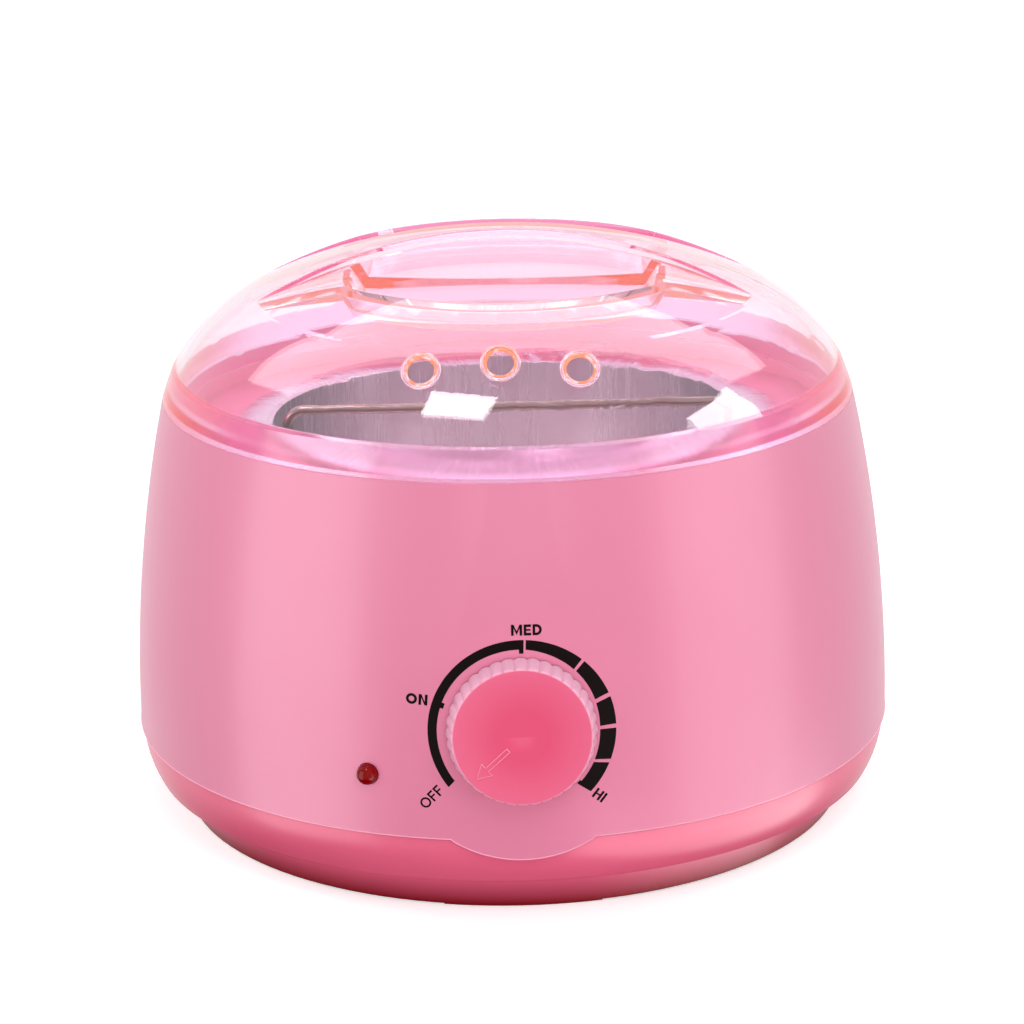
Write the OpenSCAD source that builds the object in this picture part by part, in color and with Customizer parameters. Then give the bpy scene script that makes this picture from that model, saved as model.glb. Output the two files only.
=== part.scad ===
// Depilatory wax heater: a round two-part housing with a hung heating well, a lift-out pot
// with a wire bail, a clear domed lid, and a thermostat behind a fluted knob.
// Millimetres, +Z up, front towards -Y, origin at the middle of the base on the table.

/* [Body] */
// Largest outside diameter of the body, at the seam
body_d = 185; // [180:1:195]
// Height of the seam between the two mouldings
seam_z = 21; // [19:0.5:23]
// Height of the body rim that carries the lid
rim_z = 101.5; // [99:0.5:106]
// How far the rim stands in from the widest part of the body
rim_inset = 9; // [7:0.5:11]
// Wall of the mouldings
wall = 2.6; // [2.2:0.1:3]
// How far the upper shell stands proud of the band below the seam
seam_step = 0.5; // [0.3:0.1:0.8]
// Depth of the sunk deck below the rim
deck_drop = 9.5; // [8.5:0.5:11]
// Thickness of the deck
deck_t = 3.2; // [2.8:0.1:3.6]
// Radius of the tongue of the upper shell, about the knob
tongue_r = 30.7; // [29:0.1:32]

/* [Base] */
// Radius of the rounded band in section
band_r = 23.6; // [21:0.2:26]
// Height of the lower edge of the band
band_low = 9.8; // [8.5:0.1:11]
// How far the foot ring stands in from the widest part of the body
foot_step = 8.5; // [7:0.5:10]
// How far the foot ring draws in towards its bottom
foot_taper = 2.8; // [2:0.1:4]
// Width of the foot ring at its bottom
foot_ring_w = 4.7; // [4:0.1:6]
// How far the rubber feet stand below the foot ring
foot_h = 0.5; // [0.3:0.1:1]
// Depth of the pockets that hold the rubber feet
foot_pocket = 1; // [0.6:0.1:1.4]
// Angle that each rubber foot spans
foot_span = 26; // [18:1:36]
// Height of the underside of the floor
floor_low = 3.6; // [3:0.1:4]
// Thickness of the floor
floor_t = 2.4; // [2:0.1:3]
// Height where the case posts meet the bosses of the base
post_z = 14; // [13:0.5:16]
// Radius of the case posts
post_r = 4.2; // [3.6:0.1:4.6]
// Height of the lip of the base above the seam
lip_up = 2.2; // [1.6:0.1:2.4]

/* [Pot] */
// How far the inside of the pot stands in from the widest part of the body
pot_inset = 35.5; // [34.5:0.5:37.5]
// Wall of the pot
pot_wall = 1.2; // [1:0.1:1.5]
// Depth of the pot inside
pot_depth = 51; // [46:1:54]
// Inside radius between the wall and the floor of the pot
pot_corner = 3.5; // [3:0.5:8]
// Width of the rolled flange of the pot
flange_w = 9; // [8:0.5:11]
// Radius of the roll at the edge of the flange
curl_r = 1.2; // [1:0.1:1.4]
// Rise of the crowned top of the flange
flange_crown = 0.5; // [0.3:0.1:0.7]
// Diameter of the bail wire
wire_d = 2.4; // [2:0.1:2.8]
// How far the legs of the bail stand in from the wall of the pot
bail_inset = 3.5; // [3:0.5:6]
// Height of the bail above its pivots
bail_h = 8.8; // [8.4:0.2:10]
// Bend radius at the top corners of the bail
bail_bend = 4; // [3:0.5:5]
// Depth of the bail pivots below the top of the pot
pivot_drop = 6.6; // [6:0.1:8]

/* [Lid] */
// Height of the lid above the body rim
lid_h = 39.6; // [38:0.2:44]
// Wall of the lid
lid_wall = 2.5; // [2:0.1:2.8]
// How far the round of the cap, carried on, would pass above the crease
cap_over = 5.8; // [5:0.1:6.6]
// How much smaller the radius of the shoulder in section is than that of the crease
shoulder_less = 31.6; // [29:0.2:35]
// How far the crease between dome and skirt stands in from the rim
crease_inset = 2.5; // [2:0.1:3]
// Height of the skirt below the crease
crease_h = 6.8; // [6:0.1:8]
// Height of the locating lip inside the body rim
lip_h = 4; // [3:0.5:5]
// Thickness of the locating lip
lip_t = 2.2; // [1.8:0.1:2.6]
// Width of the grip bar at its middle
bar_w = 8; // [7:0.5:10]
// Radius of the long edges of the grip bar
bar_r = 155; // [140:1:180]
// Radius of the outer edge of the finger pits at their floor
pit_r = 42.5; // [40:0.5:44]
// Half the length of the pit floor along the bar
pit_x = 33.3; // [31:0.5:35]
// Depth of the pit floor below the top of the dome
pit_drop = 13.6; // [12:0.2:15]
// Slope of the pit walls from the vertical
pit_draft = 32; // [26:1:36]
// Plan radius of the outer edge of the shallow wings of the grip
wing_r = 139; // [130:1:150]
// Where the outer edge of the wings crosses the middle, in front of the axis
wing_y = 30.3; // [28:0.5:33]
// Radius of the floor of the wings
wing_floor_r = 192; // [180:1:210]
// Depth of the wing floor below the top of the dome, on the axis
wing_drop = 4.5; // [3.5:0.1:5.5]
// Diameter of the steam vents
vent_d = 7.4; // [6:0.2:8.4]
// How much wider a vent is at the outer end of its cut than at the inner end
vent_draw = 0.3; // [0.2:0.05:0.5]
// Spacing of the steam vents
vent_pitch = 17.7; // [15:0.1:20]
// Distance of the row of vents in front of the axis
vent_y = 65.4; // [63:0.2:68]
// Slope of the vents from the horizontal
vent_tilt = 22; // [15:1:35]
// Turn of the lid on the body, seen from above
lid_turn = -2.4; // [-8:0.1:8]

/* [Knob] */
// Height of the knob axis on the front of the body
dial_z = 47; // [44:0.5:50]
// Largest diameter of the knob over its flutes
knob_d = 33.8; // [31:0.2:36]
// Number of flutes
flutes = 36; // [30:1:44]
// Radius of one flute
flute_r = 2.2; // [1.9:0.1:2.8]
// Distance from the body to the face of the knob
knob_h = 5.8; // [5.4:0.2:8]
// How much smaller the radius of the face of the knob is than that of its back
knob_taper = 1.2; // [0.8:0.1:1.6]
// Gap between the body and the back of the knob
knob_gap = 0.6; // [0.4:0.1:1]
// Wall of the knob
knob_wall = 1.8; // [1.4:0.1:2]
// Direction of the arrow at OFF, counted from the right
arrow_angle = 222; // [205:1:235]
// Length of the arrow
arrow_l = 9.6; // [8:0.2:11]
// Height of the arrow over the rim of the face
arrow_rise = 0.35; // [0.25:0.05:0.5]
// Diameter of the spindle
spindle_d = 6; // [5:0.5:6]

/* [Lamp and inlet] */
// Diameter of the pilot lens
lens_d = 4.8; // [4:0.1:5.5]
// Height of the pilot lens
lens_z = 35.3; // [31:0.1:38]
// Angle from the knob round to the pilot lens
lens_angle = 21.9; // [20:0.1:32]
// Height of the cord inlet at the rear
inlet_z = 32; // [31:0.5:36]
// Bore of the cord grommet
inlet_d = 6.8; // [6:0.1:7.4]

/* [Heating] */
// Gap between the pot and the heating well
well_gap = 1.4; // [1:0.1:1.8]
// Wall of the heating well
well_wall = 1.2; // [1:0.1:1.6]
// Height of the heater band
band_h = 30; // [24:1:34]
// Thickness of the heater band
band_t = 2.4; // [2:0.1:2.8]
// Thickness of the clamp strap and brackets
strap_t = 0.8; // [0.6:0.1:1]

/* [Clearances] */
// Gap under parts that are lifted off
seat_gap = 0.1; // [0.05:0.05:0.3]
// Gap between fixed parts that are pushed together
push_gap = 0.3; // [0.2:0.05:0.5]
// Radial gap of turning parts
run_gap = 0.06; // [0.03:0.01:0.1]
// Radial gap round screws
screw_gap = 0.05; // [0.03:0.01:0.1]
// Radial gap between the lid lip and the body rim
lid_gap = 0.5; // [0.3:0.05:0.7]

/* [Hidden] */
$fn = 96;
fine = 360;
eps = 0.01;
far = 400;

pink = "#f09bb9";
band_pink = "#e8849f";
lid_pink = [1, 0.62, 0.78, 0.45];
silver = "#c9c6cc";

// Side of the body: one arc from the seam, where it is upright, to the rim
body_r = body_d / 2;
rim_r = body_r - rim_inset;
side_r = ((rim_z - seam_z) ^ 2 + (body_r - rim_r) ^ 2) / (2 * (body_r - rim_r));
side_x = body_r - side_r;
function wall_r(z) = side_x + sqrt(side_r ^ 2 - (z - seam_z) ^ 2);
function wall_tilt(z) = asin((z - seam_z) / side_r);

// Deck, pot and well, one inside the other
deck_z = rim_z - deck_drop;
pot_r = body_r - pot_inset;
pot_flange_r = pot_r + flange_w;
bail_x = pot_r - bail_inset;
pot_out = pot_r + pot_wall;
pot_top = deck_z + seat_gap + 2 * curl_r;
pot_floor = pot_top - pot_depth;
pivot_z = pot_top - pivot_drop;
well_r = pot_out + well_gap;
well_out = well_r + well_wall;
well_floor_gap = 1.2;
well_floor = pot_floor - pot_wall - well_floor_gap;
well_low = well_floor - well_wall;
well_step = 0.5;
well_flange_r = pot_flange_r + well_step;
well_flange_z = deck_z - deck_t - well_wall;
deck_hole_r = well_r + 0.6;
wire_r = wire_d / 2;

// Screws: radius of the shank, radius and height of the head
case_screw = [1.45, 3.1, 2.2];
well_screw = [1.3, 3.2, 2];
small_screw = [1.2, 2.4, 1.8];
post_ring = well_flange_r + post_r + push_gap;
post_angles = [45, 135, 225, 315];
post_bite = 12;
head_z = post_z - 4.4;
well_screw_ring = well_flange_r + 2.4;
well_screw_angles = [0, 120, 240];
well_boss_r = 3.6;

// Base: floor, foot ring and lip
floor_top = floor_low + floor_t;
foot_top_r = body_r - foot_step;
foot_low_r = foot_top_r - foot_taper;
foot_in_r = foot_low_r - foot_ring_w;
foot_inset = 0.6;
band_x = body_r - seam_step - band_r;
seam_gap = 0.25;
lip_out = body_r - wall - push_gap;
lip_in = lip_out - 2;
slots = 12;
slot_size = [16, 3];
slot_ring = 48;

// Dome: a cap, a shoulder arc that meets it smoothly and ends at the crease
lid_base = rim_z + seat_gap;
lid_top = lid_base + lid_h;
crease = [rim_r - crease_inset, lid_base + crease_h];
cap_rise = lid_top - crease.y - cap_over;
cap_r = (crease.x ^ 2 + cap_rise ^ 2) / (2 * cap_rise);
shoulder_r = crease.x - shoulder_less;
cap_z = lid_top - cap_r;
chord = norm([crease.x, crease.y - cap_z]);
along = ((cap_r - shoulder_r) ^ 2 - shoulder_r ^ 2 + chord ^ 2) / (2 * chord);
across = sqrt((cap_r - shoulder_r) ^ 2 - along ^ 2);
chord_dir = [crease.x, crease.y - cap_z] / chord;
shoulder = [
    chord_dir.x * along - chord_dir.y * across,
    cap_z + chord_dir.y * along + chord_dir.x * across
];
meet_angle = atan2(shoulder.x, shoulder.y - cap_z);
crease_angle = atan2(crease.x - shoulder.x, crease.y - shoulder.y);
lip_r = rim_r - wall - lid_gap;
pit_floor = lid_top - pit_drop;
function shoulder_z(r) = shoulder.y + sqrt(shoulder_r ^ 2 - (r - shoulder.x) ^ 2);

// Knob, thermostat and lamp
knob_r = knob_d / 2;
spindle_r = spindle_d / 2;
spindle_flat = 0.8;
spindle_out = knob_h - 1.4;
bush_r = spindle_r + 1.8;
plate_u = -wall - 7.4;
block = [24, 26, 12];
block_u = plate_u - block.z;
spindle_in = plate_u - 6;
bracket_x = 18;
bracket_eye = bush_r + 4.2;
bracket_boss_r = 3.4;
bracket_t = 1.2;
nut_h = 2.5;
lens_r = lens_d / 2;
lens_flange = [lens_r + 1, 1.3];
lamp_l = 10;
lamp_front = -wall - push_gap - lens_flange.y - seat_gap;

// Heating parts
heater_mid = (well_floor + deck_z) / 2 - 5;
heater_r = well_out + seat_gap;
strap_r = heater_r + band_t + seat_gap;
heater_gap_angle = 8;
heater_tab = [5, 1, 6];
strap_h = 14;
lug = [9, strap_h - 2];
lug_offset = strap_r * sin(heater_gap_angle / 2) + strap_t;
lug_in = (strap_r + strap_t / 2) * cos(heater_gap_angle / 2);
pad = [16, 26, 3];
pad_z = well_low - pad.z;
fuse_r = 3.2;
fuse_l = 30;
fuse_z = pad_z - fuse_r - seat_gap;
clip_r = fuse_r + seat_gap;
clip_w = 10;
clip_foot = 11.5;
clip_screw_y = 8;

// Cord inlet, clamp and terminal block
inlet_r = inlet_d / 2;
grommet_neck = inlet_r + 2;
grommet_flange = [inlet_r + 3.6, 1.8];
grommet_nose = 4;
inlet_out = wall_r(inlet_z - grommet_flange.x) + push_gap;
inlet_in = sqrt((wall_r(inlet_z + grommet_flange.x) - wall) ^ 2 - grommet_flange.x ^ 2) - push_gap;
clamp_reach = 16;
clamp_bite = 0.6;
clamp_post_r = 3.4;
clamp_x = inlet_r + 1.6 * clamp_post_r;
clamp_y = inlet_in - clamp_reach;
clamp_z = inlet_z + inlet_r - clamp_bite;
clamp_bar = [2 * clamp_x + 2.6 * clamp_post_r, 2.4 * clamp_post_r, 3];
clamp_hole = 9;
terminal = [26, 16, 13];
terminal_y = 42;
terminal_pitch = 12;
terminal_cell = 9.2;
terminal_hole = 5.2;
lead_r = 1.1;
lead_sides = 8;

// Moves children to the outside of the wall at a height and an angle round from the front;
// there +Z points out of the wall and +Y up it
module at_wall(z, angle = 0) {
    rotate([0, 0, angle])
        translate([0, -wall_r(z), z])
            rotate([90 - wall_tilt(z), 0, 0])
                children();
}

module ring_of(angles, r) {
    for (a = angles)
        rotate([0, 0, a])
            translate([r, 0, 0])
                children();
}

// Screw with its head below z = 0 and its shank upwards
module screw_up(size, length) {
    translate([0, 0, -size.z])
        cylinder(r = size.y, h = size.z);
    translate([0, 0, -eps])
        cylinder(r = size.x, h = length + eps);
}

// Cross slot in the face of a screw head
module cross_slot(size) {
    for (a = [0, 90])
        rotate([0, 0, a])
            translate([0, 0, -size.z])
                cube([1.5 * size.y, 0.22 * size.y, size.z], center = true);
}

module cross_screw(size, length) {
    difference() {
        screw_up(size, length);
        cross_slot(size);
    }
}

// Disc under the side arc of the body, in section
module side_disc(inset) {
    translate([side_x, seam_z])
        circle(r = side_r - inset, $fn = fine);
}

// Shell wall from the low end of the tongue to the rim, with the deck across it
module shell_section() {
    low = dial_z - tongue_r - 1;
    difference() {
        intersection() {
            side_disc(0);
            translate([0, low])
                square([body_d, rim_z - low]);
        }
        intersection() {
            side_disc(wall);
            translate([0, low - 1])
                square([body_d, deck_z - deck_t - low + 1]);
        }
        intersection() {
            side_disc(wall);
            translate([0, deck_z])
                square([body_d, rim_z]);
        }
        square([deck_hole_r, rim_z]);
    }
}

// Round bar along Y through the knob axis, for the tongue and its notch
module tongue_bar(r) {
    translate([0, 0, dial_z])
        rotate([90, 0, 0])
            cylinder(r = r, h = body_d);
}

module upper_housing() {
    color(pink)
    difference() {
        union() {
            difference() {
                rotate_extrude($fn = fine)
                    shell_section();
                difference() {
                    cylinder(r = body_d, h = seam_z);
                    tongue_bar(tongue_r);
                }
            }
            // Posts that take the case screws
            ring_of(post_angles, post_ring)
                translate([0, 0, post_z])
                    cylinder(r = post_r, h = deck_z - deck_t / 2 - post_z);
            // Bosses of the well screws, beside the flange of the well
            difference() {
                ring_of(well_screw_angles, well_screw_ring)
                    translate([0, 0, well_flange_z])
                        cylinder(r = well_boss_r, h = well_wall + deck_t / 2);
                translate([0, 0, well_flange_z - 1])
                    cylinder(r = well_flange_r + push_gap, h = well_wall + 1);
            }
            // Bosses of the thermostat bracket
            at_wall(dial_z)
                for (side = [-1, 1])
                    translate([side * bracket_x, 0, plate_u + bracket_t])
                        cylinder(r = bracket_boss_r, h = -plate_u - bracket_t - wall - 1);
        }
        ring_of(post_angles, post_ring)
            translate([0, 0, post_z - 1])
                cylinder(r = case_screw.x + screw_gap, h = post_bite + 2);
        ring_of(well_screw_angles, well_screw_ring)
            translate([0, 0, well_flange_z - 1])
                cylinder(r = well_screw.x + screw_gap, h = well_wall + deck_t);
        at_wall(dial_z) {
            translate([0, 0, -2 * wall])
                cylinder(r = spindle_r + 1, h = 4 * wall);
            for (side = [-1, 1])
                translate([side * bracket_x, 0, plate_u])
                    cylinder(r = small_screw.x + screw_gap, h = -plate_u - wall - 1.6);
        }
        at_wall(lens_z, -lens_angle)
            translate([0, 0, -2 * wall])
                cylinder(r = lens_r + seat_gap, h = 4 * wall);
        translate([0, inlet_in - wall, inlet_z])
            rotate([-90, 0, 0])
                cylinder(r = grommet_neck + seat_gap, h = 4 * wall);
    }
}

// Band, foot ring and floor of the base in section, with the hollow above the floor taken out
module pan_section() {
    band_top = seam_z - seam_gap;
    difference() {
        union() {
            intersection() {
                translate([band_x, seam_z])
                    circle(r = band_r);
                translate([band_x, band_low])
                    square([band_r, band_top - band_low]);
            }
            translate([0, band_low])
                square([band_x, band_top - band_low]);
            polygon([
                [0, foot_h], [foot_low_r, foot_h],
                [foot_top_r, band_low], [0, band_low]
            ]);
            translate([0, band_low + wall])
                square([lip_out, seam_z + lip_up - band_low - wall]);
        }
        intersection() {
            translate([band_x, seam_z])
                circle(r = band_r - wall);
            translate([band_x, band_low + wall])
                square([lip_in - band_x, seam_z]);
        }
        translate([0, band_low + wall])
            square([band_x, seam_z]);
        translate([0, floor_top])
            square([foot_in_r + 1, band_low + wall]);
        translate([band_x, seam_z])
            square([lip_in - band_x, seam_z]);
        square([foot_in_r, floor_low]);
    }
}

module base_pan() {
    color(band_pink)
    difference() {
        union() {
            rotate_extrude()
                pan_section();
            ring_of(post_angles, post_ring)
                translate([0, 0, floor_low])
                    cylinder(r = post_r + 0.8, h = post_z - seat_gap - floor_low);
            // Posts and saddle of the cord clamp
            for (side = [-1, 1])
                translate([side * clamp_x, clamp_y, floor_low + floor_t / 2])
                    cylinder(r = clamp_post_r, h = clamp_z - floor_low - floor_t / 2);
            translate([-clamp_x, clamp_y - 2, floor_low + floor_t / 2])
                cube([2 * clamp_x, 4, inlet_z - inlet_r - floor_low - floor_t / 2]);
        }
        // Notch for the tongue of the upper shell
        difference() {
            tongue_bar(tongue_r + push_gap);
            cylinder(r = lip_out + seat_gap, h = far, center = true);
            translate([0, 0, seam_z])
                cylinder(r = body_d, h = far);
        }
        ring_of(post_angles, post_ring) {
            cylinder(r = case_screw.y + 0.4, h = head_z);
            cylinder(r = case_screw.x + push_gap, h = post_z + 1);
        }
        for (side = [-1, 1])
            translate([side * clamp_x, clamp_y, clamp_z - clamp_hole])
                cylinder(r = small_screw.x + screw_gap, h = clamp_hole + 1);
        // Pockets of the rubber feet
        rubber_arcs(foot_inset - seat_gap, foot_h - 1, foot_pocket + 1);
        // Air slots in the floor
        for (i = [0:slots - 1])
            rotate([0, 0, (i + 0.5) * 360 / slots])
                translate([slot_ring - slot_size.x / 2, -slot_size.y / 2, 0])
                    cube([slot_size.x, slot_size.y, floor_top + 1]);
    }
}

// Four arcs under the foot ring, midway between the case screws
module rubber_arcs(inset, z, h) {
    spread = foot_span + (foot_inset - inset) / foot_low_r * 120;
    for (a = post_angles)
        rotate([0, 0, a + 45 - spread / 2])
            rotate_extrude(angle = spread)
                translate([foot_in_r + inset, z])
                    square([foot_ring_w - 2 * inset, h]);
}

module rubber_feet() {
    color("#6b5560")
    rubber_arcs(foot_inset, 0, foot_h + foot_pocket);
}

module case_screws() {
    color(silver)
    ring_of(post_angles, post_ring)
        translate([0, 0, head_z])
            cross_screw(case_screw, post_z - head_z + post_bite);
}

// Slice of a disc from one angle to another, counted from the top
module slice(at, r, from, to) {
    reach = 2 * r;
    intersection() {
        translate(at)
            circle(r = r, $fn = fine);
        polygon([
            at,
            at + reach * [sin(from), cos(from)],
            at + reach * [sin(to), cos(to)]
        ]);
    }
}

// Dome in section, inset by a wall: the two slices and the body under them
module dome_section(inset) {
    inner = shoulder_r - inset;
    edge = shoulder + inner * [sin(crease_angle), cos(crease_angle)];
    under_meet = shoulder + 0.8 * inner * [sin(meet_angle), cos(meet_angle)];
    slice([0, cap_z], cap_r - inset, 0, meet_angle);
    slice(shoulder, inner, meet_angle, crease_angle);
    polygon([
        [0, cap_z], [rim_r - inset, cap_z], [rim_r - inset, lid_base],
        edge, under_meet, [0, under_meet.y]
    ]);
}

module lid_section() {
    intersection() {
        dome_section(0);
        translate([0, lid_base])
            square([body_d, lid_h + 1]);
    }
    translate([0, lid_base - lip_h])
        square([lip_r, lip_h + crease_h / 2]);
}

module lid_hollow_section() {
    intersection() {
        union() {
            dome_section(lid_wall);
            square([lip_r, crease.y - lid_wall]);
        }
        translate([0, lid_base - lip_h - 1])
            square([lip_r - lip_t, lid_h + lip_h + 1]);
    }
}

// Recess in front of the grip bar, its walls moved out by a wall
module finger_recess(grow) {
    rise = lid_h;
    low = pit_floor - grow;
    spread = grow * (1 / cos(pit_draft) - tan(pit_draft));
    foot_x = pit_x + spread;
    head_x = foot_x + rise * tan(pit_draft);
    intersection() {
        translate([0, -bar_w / 2 - bar_r, 0])
            cylinder(r = bar_r + grow, h = far, $fn = fine);
        union() {
            intersection() {
                translate([0, 0, low])
                    cylinder(
                        r1 = pit_r + spread,
                        r2 = pit_r + spread + rise * tan(pit_draft),
                        h = rise
                    );
                rotate([90, 0, 0])
                    linear_extrude(body_d)
                        polygon([
                            [-foot_x, low], [foot_x, low],
                            [head_x, low + rise], [-head_x, low + rise]
                        ]);
            }
            difference() {
                translate([0, wing_r - wing_y, lid_base])
                    cylinder(r = wing_r + grow, h = 2 * lid_h, $fn = fine);
                translate([0, 0, lid_top - wing_drop - wing_floor_r])
                    sphere(r = wing_floor_r - grow, $fn = fine);
            }
        }
    }
}

module finger_recesses(grow) {
    for (side = [0, 1])
        mirror([0, side, 0])
            finger_recess(grow);
}

module lid() {
    color(lid_pink)
    rotate([0, 0, lid_turn])
        difference() {
            rotate_extrude($fn = fine)
                lid_section();
            finger_recesses(0);
            difference() {
                rotate_extrude($fn = fine)
                    lid_hollow_section();
                finger_recesses(lid_wall);
            }
            for (i = [-1:1])
                translate([i * vent_pitch, -vent_y, shoulder_z(norm([i * vent_pitch, vent_y]))])
                    rotate([90 - vent_tilt, 0, 0])
                        cylinder(
                            d1 = vent_d - vent_draw / 2,
                            d2 = vent_d + vent_draw / 2,
                            h = 6 * lid_wall,
                            center = true
                        );
        }
}

// Cup in section: floor and wall joined by a round corner
module cup_section(r, low, high, corner) {
    translate([0, low])
        square([r - corner, high - low]);
    translate([0, low + corner])
        square([r, high - low - corner]);
    translate([r - corner, low + corner])
        circle(r = corner);
}

module pot_section() {
    curl_x = pot_flange_r - curl_r;
    crown_half = flange_w / 2;
    crown_r = (crown_half ^ 2 + flange_crown ^ 2) / (2 * flange_crown);
    difference() {
        union() {
            cup_section(pot_out, pot_floor - pot_wall, pot_top, pot_corner + pot_wall);
            intersection() {
                union() {
                    translate([0, pot_top - curl_r])
                        square([curl_x, curl_r]);
                    translate([curl_x, pot_top - curl_r])
                        circle(r = curl_r);
                }
                translate([pot_r + crown_half, pot_top - crown_r])
                    circle(r = crown_r);
            }
        }
        cup_section(pot_r, pot_floor, pot_top + 1, pot_corner);
    }
}

module wax_pot() {
    color(silver)
    difference() {
        rotate_extrude($fn = fine)
            pot_section();
        translate([0, 0, pivot_z])
            rotate([0, 90, 0])
                cylinder(r = wire_r + run_gap, h = 2 * pot_out + 2, center = true);
    }
}

// Quarter bend of wire, from the X direction to the Z direction
module wire_bend(r) {
    rotate([90, 0, 0])
        rotate_extrude(angle = 90)
            translate([r, 0])
                circle(r = wire_r);
}

module half_bail() {
    foot_bend = 2.4;
    tip_x = pot_out + 0.7;
    top_z = pivot_z + bail_h;
    translate([0, 0, top_z])
        rotate([0, 90, 0])
            cylinder(r = wire_r, h = bail_x - bail_bend);
    translate([bail_x - bail_bend, 0, top_z - bail_bend])
        wire_bend(bail_bend);
    translate([bail_x, 0, pivot_z + foot_bend])
        cylinder(r = wire_r, h = bail_h - bail_bend - foot_bend);
    translate([bail_x + foot_bend, 0, pivot_z + foot_bend])
        rotate([0, 180, 0])
            wire_bend(foot_bend);
    translate([bail_x + foot_bend, 0, pivot_z])
        rotate([0, 90, 0])
            cylinder(r = wire_r, h = tip_x - bail_x - foot_bend);
}

module pot_bail() {
    color(silver) {
        half_bail();
        mirror([1, 0, 0])
            half_bail();
    }
}

module heating_well() {
    color(silver)
    difference() {
        union() {
            rotate_extrude($fn = fine)
                difference() {
                    union() {
                        cup_section(
                            well_out, well_low, well_flange_z + well_wall, pot_corner + well_gap + well_wall
                        );
                        translate([0, well_flange_z])
                            square([well_flange_r, well_wall]);
                    }
                    cup_section(well_r, well_floor, deck_z, pot_corner + well_gap);
                }
            translate([-pad.x / 2, -pad.y / 2, pad_z])
                cube([pad.x, pad.y, pad.z + well_wall / 2]);
        }
        for (side = [-1, 1])
            translate([0, side * clip_screw_y, pad_z - 1])
                cylinder(r = small_screw.x + screw_gap, h = pad.z + 1);
    }
}

module well_screws() {
    color(silver)
    ring_of(well_screw_angles, well_screw_ring)
        translate([0, 0, well_flange_z])
            cross_screw(well_screw, deck_t - 0.2);
}

// Ring segment that leaves a gap on the left side
module open_ring(r, t, z, h) {
    rotate([0, 0, 180 + heater_gap_angle / 2])
        rotate_extrude(angle = 360 - heater_gap_angle, $fn = fine)
            translate([r, z])
                square([t, h]);
}

module heater_band() {
    low = heater_mid - band_h / 2;
    tab = heater_tab;
    color("#b9a98c") {
        open_ring(heater_r, band_t, low, band_h);
        for (side = [-1, 1])
            rotate([0, 0, 180 + side * heater_gap_angle])
                translate([heater_r + band_t / 2, 0, low - tab.z / 2 + eps])
                    cube([tab.y, tab.x, tab.z], center = true);
    }
}

// Strap round the heater band, its ends bent out as lugs
module band_clamp() {
    color(silver)
    difference() {
        union() {
            open_ring(strap_r, strap_t, heater_mid - strap_h / 2, strap_h);
            for (side = [-1, 1])
                translate([-lug_in - lug.x, side * lug_offset - strap_t / 2, heater_mid - lug.y / 2])
                    cube([lug.x, strap_t, lug.y]);
        }
        translate([-lug_in - lug.x / 2, 0, heater_mid])
            rotate([90, 0, 0])
                cylinder(r = small_screw.x + push_gap, h = far, center = true);
    }
}

module band_clamp_screw() {
    grip = 2 * lug_offset + strap_t;
    color(silver)
    translate([-lug_in - lug.x / 2, -grip / 2, heater_mid])
        rotate([-90, 0, 0]) {
            cross_screw(small_screw, grip + 4);
            translate([0, 0, grip])
                cylinder(r = small_screw.y + 0.4, h = 2, $fn = 6);
        }
}

module thermal_fuse() {
    color("#d9d2c0")
    translate([-fuse_l / 2, 0, fuse_z])
        rotate([0, 90, 0])
            cylinder(r = fuse_r, h = fuse_l);
}

module fuse_clip() {
    color(silver)
    difference() {
        translate([-clip_w / 2, 0, 0])
            rotate([90, 0, 90])
                linear_extrude(clip_w)
                    difference() {
                        union() {
                            translate([0, fuse_z])
                                circle(r = clip_r + strap_t);
                            translate([-clip_foot, pad_z - strap_t])
                                square([2 * clip_foot, strap_t]);
                            translate([-clip_r - strap_t, fuse_z])
                                square([2 * clip_r + 2 * strap_t, pad_z - fuse_z]);
                        }
                        translate([0, fuse_z])
                            circle(r = clip_r);
                        translate([-clip_r, fuse_z])
                            square([2 * clip_r, far]);
                        translate([-far / 2, pad_z])
                            square([far, far]);
                    }
        for (side = [-1, 1])
            translate([0, side * clip_screw_y, fuse_z])
                cylinder(r = small_screw.x + screw_gap, h = far);
    }
}

module fuse_clip_screws() {
    color(silver)
    for (side = [-1, 1])
        translate([0, side * clip_screw_y, pad_z - strap_t])
            cross_screw(small_screw, pad.z + strap_t - 0.2);
}

// Rounded flutes close together round a core, drawn in towards the face
module fluted_cone() {
    lean = atan(knob_taper / knob_h);
    core = knob_r - 0.9 * flute_r;
    cylinder(r1 = core, r2 = core - knob_taper, h = knob_h);
    for (i = [0:flutes - 1])
        rotate(i * 360 / flutes)
            translate([knob_r - flute_r, 0, 0])
                rotate([0, -lean, 0])
                    cylinder(r = flute_r, h = 3 * knob_h, center = true, $fn = 32);
}

// Limit of the knob in section: clear of the wall, with a rounded front edge
module knob_limit() {
    round_r = 0.5;
    front = knob_r - knob_taper;
    translate([0, knob_gap])
        square([front - round_r, knob_h - knob_gap]);
    polygon([
        [0, knob_gap], [knob_r + 0.2, knob_gap],
        [front, knob_h - round_r], [0, knob_h - round_r]
    ]);
    translate([front - round_r, knob_h - round_r])
        circle(r = round_r);
}

// Flat arrow from near the middle of the face towards its edge
module arrow() {
    start = 4.2;
    head = 3.2;
    head_w = 3.6;
    shaft_w = 1;
    end = start + arrow_l;
    polygon([
        [start, -shaft_w / 2], [end - head, -shaft_w / 2], [end - head, -head_w / 2],
        [end, 0],
        [end - head, head_w / 2], [end - head, shaft_w / 2], [start, shaft_w / 2]
    ]);
}

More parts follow.
